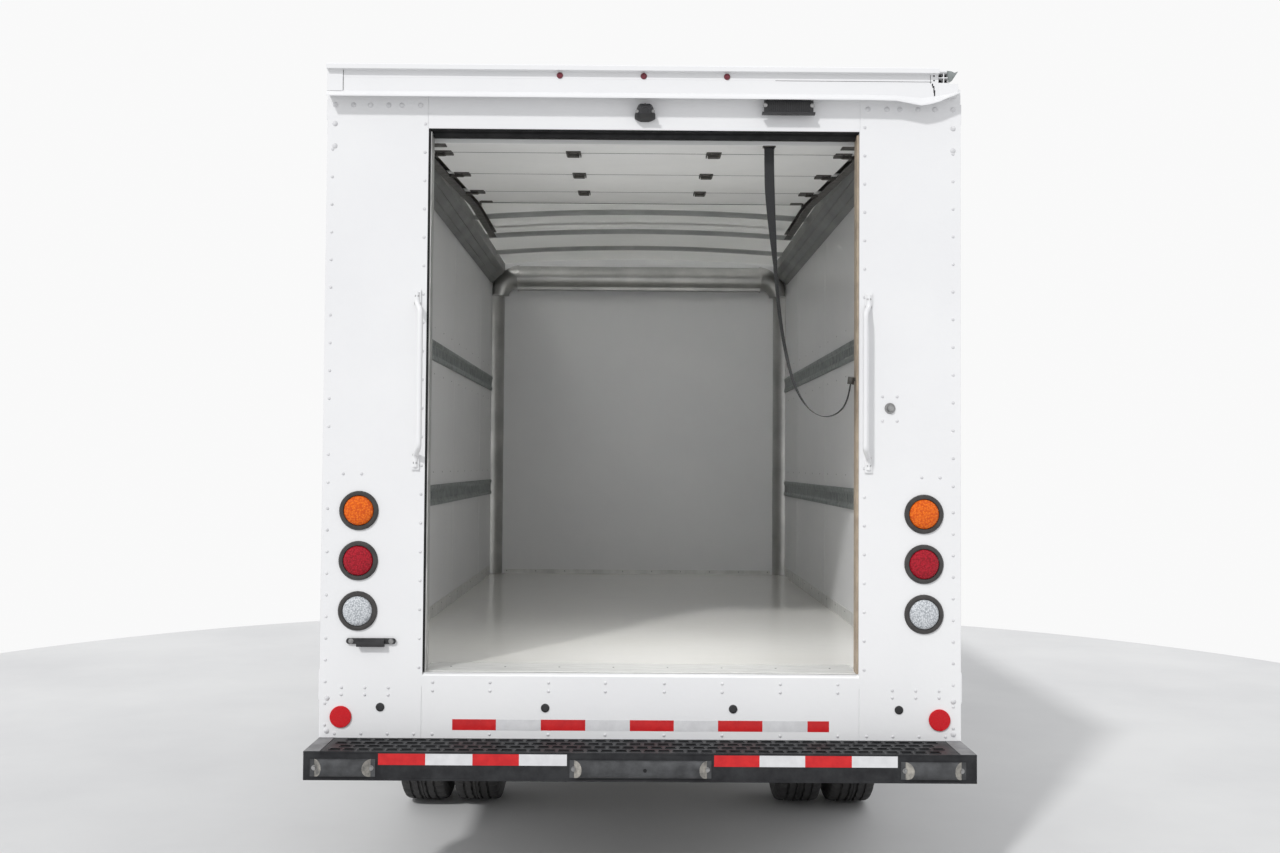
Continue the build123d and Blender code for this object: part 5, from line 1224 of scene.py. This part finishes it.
# %% Lamps, wipers, grille bars and vents
ROOF_LAMP = [(0.034, 0), (0.033, 0.010), (0.026, 0.019), (0.012, 0.024), (0, 0.025)]
WIPER_PIVOT = [(0.022, -0.020), (0.022, 0.010), (0.016, 0.018), (0, 0.020)]
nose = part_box("headlamps")
print("headlamps lie between", [round(v, 3) for v in nose[0]], [round(v, 3) for v in nose[1]])
bm = bmesh.new()
for side in (-1, 1):
    for z in [0.884 + i * 0.036 for i in range(5)]:
        slab(bm, (side * 0.660 - 0.080, 6.7945, z), (side * 0.660 + 0.075, 6.797, z + 0.004), place)
finish_piece("headlamp_flutes", bm, "clear_lens")
bm = bmesh.new()
spots = [place(x, 5.300, 2.088 - 0.014 * abs(x) / 0.30) for x in (-0.60, -0.30, 0, 0.30, 0.60)]
studs(bm, ROOF_LAMP, spots, (0, 0.42, 1), 20)
finish_piece("cab_roof_lamps", bm, "amber_lens")
bm = bmesh.new()
for side in (-1, 1):
    x, y = side * 1.0045, FRONT_AXLE + 0.20
    slab(bm, (x - 0.0045, y, 1.020), (x + 0.0045, y + 0.085, 1.050), place)
finish_piece("fender_side_lamps", bm, "amber_lens", bevel=0.002)
bm = bmesh.new()
for x, reach in ((-0.30, 0.38), (0.34, 0.40)):
    base = screen_point(x, 1.352) + Vector((0, -0.004, 0.020))
    tip = screen_point(x - reach, 1.452) + screen_normal * 0.014
    turned(bm, WIPER_PIVOT, base, screen_normal, 16)
    arm = (tip - base).normalized()
    width = arm.cross(screen_normal) * 0.006
    # The arm and the blade: start, end, width, height
    for a, b, w, h in ((base, tip, 1.0, 0.008), (tip - arm * 0.30, tip + arm * 0.12, 1.4, 0.005)):
        rows = []
        for point, half in ((a, w), (b, 0.6 * w)):
            edges = ((-half, 0), (half, 0), (half, h), (-half, h))
            rows.append([point + width * u + screen_normal * v for u, v in edges])
        skin(bm, rows)
finish_piece("wipers", bm, "black_plastic", bevel=0.0008)
bm = bmesh.new()
fins(bm, 46, -0.4692, 0.0208, (0, 6.752, 0.716), (0.0024, 6.768, 1.048), place)
finish_piece("grille_bars", bm, "black_plastic")
bm = bmesh.new()
fins(bm, 40, -0.820, 0.042, (0, 5.930, 1.3448), (0.020, 5.990, 1.3462), place)
finish_piece("cowl_vents", bm, "black_plastic")
print("front trim made")

# %% [markdown]
# ## Doors and mirrors
# Each mirror has a glass face set in its black head. The head's back faces forward, so the glass
# faces the tail. The door has a lock barrel, an arm rest, a window crank and a bin inside, which
# show when it stands open.

# %% Mirror faces and door trim
DOOR_LOCK = [(0.011, 0), (0.011, 0.003), (0.0075, 0.0045), (0, 0.004)]
CRANK = [(0.022, 0), (0.022, 0.012), (0.010, 0.020), (0, 0.021)]


def rectangle(half_u, half_v, r):
    """Corners of a rectangle for rounded."""
    return [(u * half_u, v * half_v, r) for u, v in ((-1, -1), (1, -1), (1, 1), (-1, 1))]


glass_edge = rounded(rectangle(0.075, 0.145, 0.02), 4)
head_edge = rounded(rectangle(0.092, 0.157, 0.026), 4)
for side, word in SIDES:
    centre = place(side * 1.180, 5.640, 1.490)
    bm = bmesh.new()
    rows = []
    for behind, wide, tall in ((0.002, 1, 1), (0.006, 1.02, 1.01)):
        rows.append([centre + Vector((u * wide, behind, v * tall)) for u, v in glass_edge])
    skin(bm, rows, caps=(0,))
    finish_piece(word + "_mirror_glass", bm, "mirror_face", word + "_door")
    bm = bmesh.new()
    edge = [centre + Vector((u * 0.93, 0.0035, v * 0.96)) for u, v in head_edge]
    ribbon(bm, edge, Vector((0, -1, 0)), 0.010, 0.0032)
    turned(bm, DOOR_LOCK, place(side * 0.9995, 4.960, 1.205), (side, 0, 0), 20)
    rest, shelf = side * 0.882, side * 0.884
    slab(bm, (rest - 0.022, 4.86, 1.150), (rest + 0.012, 5.30, 1.185), place)
    slab(bm, (shelf - 0.020, 4.80, 0.640), (shelf + 0.010, 5.36, 0.760), place)
    turned(bm, CRANK, place(rest, 5.38, 1.05), (-side, 0, 0), 20)
    finish_piece(word + "_door_trim", bm, "dash_plastic", word + "_door", bevel=0.004)
print("mirrors and door trim made")

# %% [markdown]
# ## Inside the cab
# The driver has a hooded cluster of dials, a centre stack with three round knobs and vents, a gear
# lever, three pedals, belts and sun visors. The dials are plain discs. They are small turned and cut
# parts on the dashboard's face.

# %% Dashboard fittings
CLUSTER = [(0, 0), (-0.115, -0.004), (-0.140, 0.012), (-0.132, 0.048), (-0.085, 0.070), (0, 0.066)]
KNOB = [(0.020, 0), (0.019, 0.018), (0, 0.020)]
LEVER = [(0.010, 0), (0.009, 0.13), (0.022, 0.135), (0.024, 0.165), (0.014, 0.180), (0, 0.182)]
bm = bmesh.new()
bar(bm, CLUSTER, -0.790, -0.370, lambda u, v, w: place(w, 5.700 + u, 1.268 + v))
slab(bm, (-0.30, 5.600, 1.2435), (0.30, 5.630, 1.285), place)
for x in (-0.83, -0.34, 0.42, 0.80):
    for z in [1.212 + k * 0.014 for k in range(4)]:
        slab(bm, (x - 0.050, 5.574, z), (x + 0.050, 5.590, z + 0.004), place)
studs(bm, KNOB, [place(x, 5.600, 1.262) for x in (-0.10, 0, 0.10)], (0, -1, 0.2), 18)
slab(bm, (0.42, 5.545, 1.130), (0.80, 5.560, 1.200), place)
slab(bm, (-0.05, 5.30, 1.240), (0.05, 5.46, 1.246), place)
turned(bm, LEVER, place(0, 5.385, 1.242), (0, -0.25, 1), 18)
finish_piece("dash_fittings", bm, "black_plastic", bevel=0.004)
bm = bmesh.new()
for x, r in ((-0.665, 0.048), (-0.550, 0.048), (-0.460, 0.024), (-0.735, 0.024)):
    dial = [(r, 0), (r, 0.004), (r - 0.004, 0.005), (r - 0.005, 0.0025), (0, 0.0025)]
    turned(bm, dial, place(x, 5.5655, 1.298), (0, -1, 0.25), 28)
finish_piece("dial_faces", bm, "clear_lens")
bm = bmesh.new()
for x in (-0.70, -0.61, -0.50):
    slab(bm, (x - 0.028, 5.650, 0.905), (x + 0.028, 5.668, 0.985), place)
    slab(bm, (x - 0.006, 5.668, 0.960), (x + 0.006, 5.780, 1.100), place)
for x in (-0.46, 0.46):
    slab(bm, (x - 0.19, 5.30, 1.955), (x + 0.19, 5.45, 1.965), place)
finish_piece("pedals_and_visors", bm, "dash_plastic", bevel=0.004)
print("cab fittings made")

# %% [markdown]
# ## Box sides, nose and roof
# The outside of the box is aluminium sheet lapped and riveted over upright posts 24 inches apart,
# between an extruded rail at the floor and one at the roof. Seen from the side, the rows of rivets
# and the laps are what shows. Rails and laps are thin blocks on the sheet, and the rivets are
# domes again.

# %% Side rails, laps and rivets
SHEET_X = 1.2188
RAIL_X = 1.2225
RIVET_PITCH = 0.105
RAIL_PITCH = 0.122
bm = bmesh.new()
for side in (-1, 1):
    for low, high in ((0.765, 0.880), (2.985, 3.062)):
        slab(bm, (side * SHEET_X, 0.0005, low), (side * RAIL_X, 4.335, high), place)
    for start, stop in ((1.28, 1.312), (2.50, 2.532), (3.72, 3.752), (0.0005, 0.060)):
        slab(bm, (side * SHEET_X, start, 0.880), (side * 1.2200, stop, 2.985), place)
finish_piece("side_rails_and_laps", bm, "box_paint", bevel=0.0006)
for side, word in SIDES:
    spots = []
    for y in [0.070 + BAY * i for i in range(7)]:
        spots += [place(side * 1.2192, y + 0.016, z) for z in spread(0.93, 2.94, RIVET_PITCH)]
        if y > 1.2:
            spots += [place(side * 1.2192, y + 0.036, z) for z in spread(0.96, 2.91, 2 * RIVET_PITCH)]
    for z in (0.800, 0.850, 3.005, 3.045):
        spots += [place(side * RAIL_X, y, z) for y in spread(0.05, 4.28, RAIL_PITCH)]
    rivets(word + "_side_rivets", spots, (side, 0, 0))
print("rivets on each side", len(spots))

# %% Front face and roof rivets
FRONT_FACE = 4.500
LAP_WIDE = 0.045


def roof_height(x):
    """Height of the roof skin at a place across the body."""
    return 3.1618 - roof_drop(x)


spots = [place(-0.9144 + BAY * i, FRONT_FACE, z) for i in range(4) for z in spread(0.82, 2.90, RIVET_PITCH)]
spots += [place(x, FRONT_FACE, z) for z in (0.790, 0.840) for x in spread(-1.03, 1.03, 0.115)]
rivets("nose_rivets", spots, (0, 1, 0))
spots = [place(x, y, roof_height(x)) for x in (-1.120, 1.120) for y in spread(0.12, 4.25, RAIL_PITCH)]
rivets("roof_rivets", spots, (0, 0, 1))
bm = bmesh.new()
for y in (1.50, 2.92):
    rows = []
    for x in spread(-1.165, 1.165, 0.12):
        top = roof_height(x) + 0.001
        strip = ((y, top - 0.002), (y, top), (y + LAP_WIDE, top), (y + LAP_WIDE, top - 0.002))
        rows.append([place(x, ahead, z) for ahead, z in strip])
    for pair in zip(rows, rows[1:]):
        skin(bm, pair, wrap=False, caps=())
finish_piece("roof_laps", bm, "box_paint")
print("nose and roof riveted, with two laps")

# %% [markdown]
# ## Marker lamps on the box
# The law asks for amber lamps at the front corners and red ones at the rear corners, high and low,
# and three amber lamps in a row over the cab. Each is a low dome in a black ring.

# %% Marker lamps
MARKER_DOME = [(0.026, 0), (0.025, 0.008), (0.019, 0.014), (0.008, 0.017), (0, 0.0175)]
MARKER_RING = [(0.036, 0), (0.036, 0.005), (0.031, 0.009), (0.026, 0.006), (0.0255, 0.002)]


def side_markers(y):
    """The four side lamps at y, each as its place and direction."""
    return [(place(side * RAIL_X, y, z), (side, 0, 0)) for side in (-1, 1) for z in (0.822, 3.022)]


nose_markers = [(place(x, FRONT_FACE, 2.900), (0, 1, 0)) for x in (-0.95, -0.16, 0, 0.16, 0.95)]
rings = bmesh.new()
for word, markers in (("amber", side_markers(4.20) + nose_markers), ("red", side_markers(0.22))):
    bm = bmesh.new()
    for spot, out in markers:
        turned(bm, MARKER_DOME, spot, out, 20)
        turned(rings, MARKER_RING, spot, out, 20)
    finish_piece(word + "_markers", bm, word + "_lens")
finish_piece("marker_rings", rings, "lamp_rubber")
print("nose marker lamps", len(nose_markers))

# %% [markdown]
# ## Under the body
# From low down, the frame shows bolts along its webs, a wiring loom and a brake pipe on its side,
# shock absorbers beside the springs, and clamps on the exhaust. Each bolt is a six-sided head. The
# loom and the pipe are fixed runs on the frame, so they are plain swept bars and not free cords.

# %% Frame bolts, loom and shock absorbers
RAIL_BOLT = [(0.011, 0), (0.011, 0.007), (0, 0.008)]
SPRING_BOLT = [(0.017, 0), (0.017, 0.010), (0, 0.011)]
SHOCK_EYE = [(0, -0.022), (0.022, -0.022), (0.022, 0.022), (0, 0.022)]
MUFFLER_CLAMP = [(0.099, -0.010), (0.1005, -0.008), (0.1005, 0.008), (0.099, 0.010)]
PIPE_CLAMP = [(0.0325, -0.011), (0.0350, -0.009), (0.0350, 0.009), (0.0325, 0.011)]
CROSS_MEMBERS = (0.115, 1.010, 2.230, 3.330, 4.430, 5.760)
bm = bmesh.new()
for side in (-1, 1):
    bolts = [place(side * 0.432, y, z) for y in CROSS_MEMBERS for z in (0.630, 0.680, 0.730)]
    studs(bm, RAIL_BOLT, bolts, (side, 0, 0), 6)
    studs(bm, SPRING_BOLT, [place(side * 0.427, y, 0.565) for y in (0.99, 2.11)], (side, 0, 0), 6)
finish_piece("frame_bolts", bm, "bolt_steel")
bm = bmesh.new()
for side, z, r in ((-1, 0.752, 0.011), (-1, 0.722, 0.004), (1, 0.748, 0.005)):
    shape = arc_points(r, r, [math.pi * i / 5 for i in range(10)])
    bar(bm, shape, 0.12, 2.60, lambda u, v, w: place(side * (0.4325 + r + u), w, z + v))
    clip = side * 0.4445
    for y in spread(0.20, 2.50, 0.38):
        slab(bm, (clip - 0.0135, y, z - r - 0.002), (clip + 0.0135, y + 0.014, z + r + 0.002), place)
finish_piece("frame_loom", bm, "black_plastic")
bm = bmesh.new()
for side in (-1, 1):
    # Axle, how far the shock absorber leans, height of its foot
    for axle, lean, foot in ((REAR_AXLE, -0.30, 0.37), (FRONT_AXLE, 0.26, 0.36)):
        low = place(side * 0.330, axle + lean * 0.35, foot)
        high = place(side * 0.330, axle + lean, 0.590)
        run = (high - low).length
        shock = [(0, 0), (0.026, 0), (0.026, run * 0.52), (0.013, run * 0.53), (0.013, run), (0, run)]
        turned(bm, shock, low, (high - low).normalized(), 18)
        studs(bm, SHOCK_EYE, (low, high), (1, 0, 0), 16)
finish_piece("shock_absorbers", bm, "frame_paint", bevel=0.001)
bm = bmesh.new()
studs(bm, MUFFLER_CLAMP, [place(0.250, y, 0.540) for y in (3.452, 4.088)], (0, 1, 0), 32)
studs(bm, PIPE_CLAMP, [place(0.250, y, 0.540) for y in (2.60, 3.30, 4.30, 4.80)], (0, 1, 0), 20)
finish_piece("exhaust_clamps", bm, "zinc")
print("underbody trim made")

# %% [markdown]
# ## Seats
# Each seat has a cushion, a back and a head rest, sewn from cloth over foam. A sewn pad is crowned:
# thick in the middle, thin at its piped edge, drawn in along its sewn channels, and its sides pull
# in between the corners. Cloth simulation could blow it up from a flat case. Here the same shape is
# worked out directly, as two crowned sheets joined at a piped rim, because these seats sit behind
# glass and the shape is regular.

# %% Seat pads
PAD_STEPS = 30
CHANNEL_WIDE = 0.035
CHANNEL_DEEP = 0.20


def fullness(u, v, channels):
    """How full a pad is at a point, from 0 at its rim to 1; channels are None on its under side."""
    plump = math.sqrt(max(0.0, (1 - abs(u) ** 5) * (1 - abs(v) ** 5)))
    plump *= 0.86 + 0.14 * (1 - u * u) * (1 - v * v)
    if channels is None:
        return plump
    for c in channels:
        plump *= 1 - CHANNEL_DEEP * math.exp(-(((u - c) / CHANNEL_WIDE) ** 2)) * (1 - abs(v) ** 6)
    return plump * (1 - 0.010 * math.sin(9 * u + 4 * v) * math.sin(7 * v - 2 * u))


def sewn_pad(name, centre, width, length, thick, lean, channels, fill):
    """A crowned pad: channels are the places across its width where it is sewn down."""
    along = Vector((0, math.cos(lean), math.sin(lean)))
    normal = Vector((0, -math.sin(lean), math.cos(lean)))
    steps = [-1 + 2 * i / PAD_STEPS for i in range(PAD_STEPS + 1)]

    def spot(u, v, rise=0.0):
        """A point so high above the pad's middle sheet, whose sides pull in between the corners."""
        x = u * width / 2 * (1 - 0.030 * (1 - v * v))
        y = v * length / 2 * (1 - 0.024 * (1 - u * u))
        return centre + Vector((x, 0, 0)) + along * y + normal * rise

    bm = bmesh.new()
    rim = [(s, -1) for s in steps[:-1]] + [(1, s) for s in steps[:-1]]
    rim += [(-s, 1) for s in steps[:-1]] + [(-1, -s) for s in steps[:-1]]
    ribbon(bm, [spot(u, v, -0.0025) for u, v in rim], normal, 0.007, 0.005)
    bmesh.ops.recalc_face_normals(bm, faces=bm.faces)
    top = [[bm.verts.new(spot(u, v, fullness(u, v, channels) * thick / 2)) for v in steps] for u in steps]
    low = [list(row) for row in top]
    for i in range(1, PAD_STEPS):
        for j in range(1, PAD_STEPS):
            u, v = steps[i], steps[j]
            low[i][j] = bm.verts.new(spot(u, v, -fullness(u, v, None) * thick / 2))
    # The low sheet is walked backwards, so that both sheets face outward
    for sheet in (zip(top, top[1:]), zip(low[1:], low)):
        for a, b in sheet:
            for j in range(PAD_STEPS):
                bm.faces.new((a[j], b[j], b[j + 1], a[j + 1]))
    pad = finish_piece(name, bm, "seat_cloth", sharp=75, turn=False)
    smooth = pad.modifiers.new("soft cloth", "SUBSURF")
    smooth.levels = 1
    smooth.render_levels = 1
    return pad


SEAT_X = 0.580
BACK_LEAN = 1.726
# Part, y, z, width, length, thickness, lean, sewn channels, filling
SEAT_PADS = (
    ("_cushion", 5.128, 1.080, 0.462, 0.452, 0.132, 0.03, (-0.55, -0.2, 0.2, 0.55), 0.85),
    ("_back", 4.880, 1.405, 0.444, 0.600, 0.118, BACK_LEAN, (-0.55, 0.55), 0.85),
    ("_head_rest", 4.815, 1.806, 0.236, 0.138, 0.096, BACK_LEAN, (), 0.95),
)
for x, word in ((-SEAT_X, "driver"), (SEAT_X, "passenger")):
    pads = []
    for part, y, z, *shape in SEAT_PADS:
        pads.append(sewn_pad(word + part, place(x, y, z), *shape))
    if word == "driver":
        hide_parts("cab_seats")
bm = bmesh.new()
for x in (-SEAT_X, SEAT_X):
    studs(bm, rod(0.0065, 0.09), [place(x + dx, 4.826, 1.672) for dx in (-0.060, 0.060)], (0, -0.08, 1), 12)
    for dx in (-0.195, 0.175):
        slab(bm, (x + dx, 4.900, 1.002), (x + dx + 0.020, 5.340, 1.022), place)
finish_piece("seat_metal", bm, "bolt_steel", bevel=0.001)
bm = bmesh.new()
for side in (-1, 1):
    x, pillar = side * SEAT_X, side * 0.868
    slab(bm, (x + side * 0.215, 4.86, 1.010), (x + side * 0.240, 5.02, 1.120), place)
    slab(bm, (x - side * 0.255, 4.93, 1.010), (x - side * 0.240, 4.96, 1.175), place)
    slab(bm, (pillar - 0.012, 4.630, 0.83), (pillar + 0.004, 4.655, 1.72), place)
finish_piece("belts_and_covers", bm, "dash_plastic", bevel=0.004)
print("two seats of three pads")

# %% [markdown]
# ## Floor and light
# The truck stands on a pale studio floor under soft daylight. A sun lamp with a wide disc gives the
# gentle shadows to the right that the photograph has, and the world fills the rest evenly. What the
# camera sees past the floor is plain white.

# %% Studio floor
bm = bmesh.new()
turned(bm, [(0, 0), (2.0, 0), (4.5, 0), (6.2, 0)], (0, 0, -0.002), (0, 0, 1), 128)
mesh = bpy.data.meshes.new("studio_floor")
bmesh.ops.recalc_face_normals(bm, faces=bm.faces)
bm.to_mesh(mesh)
bm.free()
mesh.materials.append(FINISH["studio_concrete"])
studio_floor = bpy.data.objects.new("studio_floor", mesh)
bpy.context.scene.collection.objects.link(studio_floor)

# %% World and lamps
world = bpy.data.worlds.new("daylight")
bpy.context.scene.world = world
world.use_nodes = True
tree = world.node_tree
sky = tree.nodes["Background"]
set_values(sky, Color=(0.965, 0.975, 1.0, 1), Strength=0.79)
seen = tree.nodes.new("ShaderNodeBackground")
set_values(seen, Color=(0.95, 0.95, 0.95, 1), Strength=1.0)
# Rays that come from the camera, through glass or off a shiny face see plain white
rays = tree.nodes.new("ShaderNodeLightPath")
direct = rays.outputs["Is Camera Ray"]
for kind in ("Is Transmission Ray", "Is Glossy Ray"):
    either = add_node(tree, "Math", direct, 0)
    either.operation = "MAXIMUM"
    tree.links.new(rays.outputs[kind], either.inputs[1])
    direct = either.outputs["Value"]
blend = add_node(tree, "MixShader", direct, "Fac")
tree.links.new(sky.outputs["Background"], blend.inputs[1])
tree.links.new(seen.outputs["Background"], blend.inputs[2])
tree.links.new(blend.outputs["Shader"], tree.nodes["World Output"].inputs["Surface"])


def lamp(name, kind, power, spot, aim, size):
    """A lamp at a spot, aimed at a point."""
    data = bpy.data.lights.new(name, kind)
    data.energy = power
    if kind == "SUN":
        data.angle = size
    else:
        data.shape = "DISK"
        data.size = size
        data.spread = 1.9
    holder = bpy.data.objects.new(name, data)
    holder.visible_camera = False
    holder.visible_glossy = False
    aimed = (Vector(aim) - Vector(spot)).to_track_quat("-Z", "Y").to_matrix().to_4x4()
    holder.matrix_world = Matrix.Translation(Vector(spot)) @ aimed
    bpy.context.scene.collection.objects.link(holder)


lamp("soft_sun", "SUN", 1.7, (-5.0, -9.0, 9.0), (0, 0, 0.5), 0.07)
lamp("front_fill", "SUN", 0.35, (6.0, 8.0, 7.0), (0, 0, 1.0), 0.6)
# Light that comes in at the door and falls on the load floor, and its bounce to the roof
lamp("door_light", "AREA", 7.0, at(0.10, 0.35, 1.25), at(0.16, 0.50, 0), 1.2)
lamp("floor_bounce", "AREA", 1.4, at(0, 0.80, 0.90), at(0, 0.80, 2.0), 1.4)
bpy.context.scene.view_settings.view_transform = "Standard"
print("lit by", len(bpy.data.lights), "lamps and the sky")

# %% [markdown]
# The finished model has to stay inside the CAD model's box. The last line brings every piece's
# place up to date.

# %% Finish
bpy.context.view_layer.update()
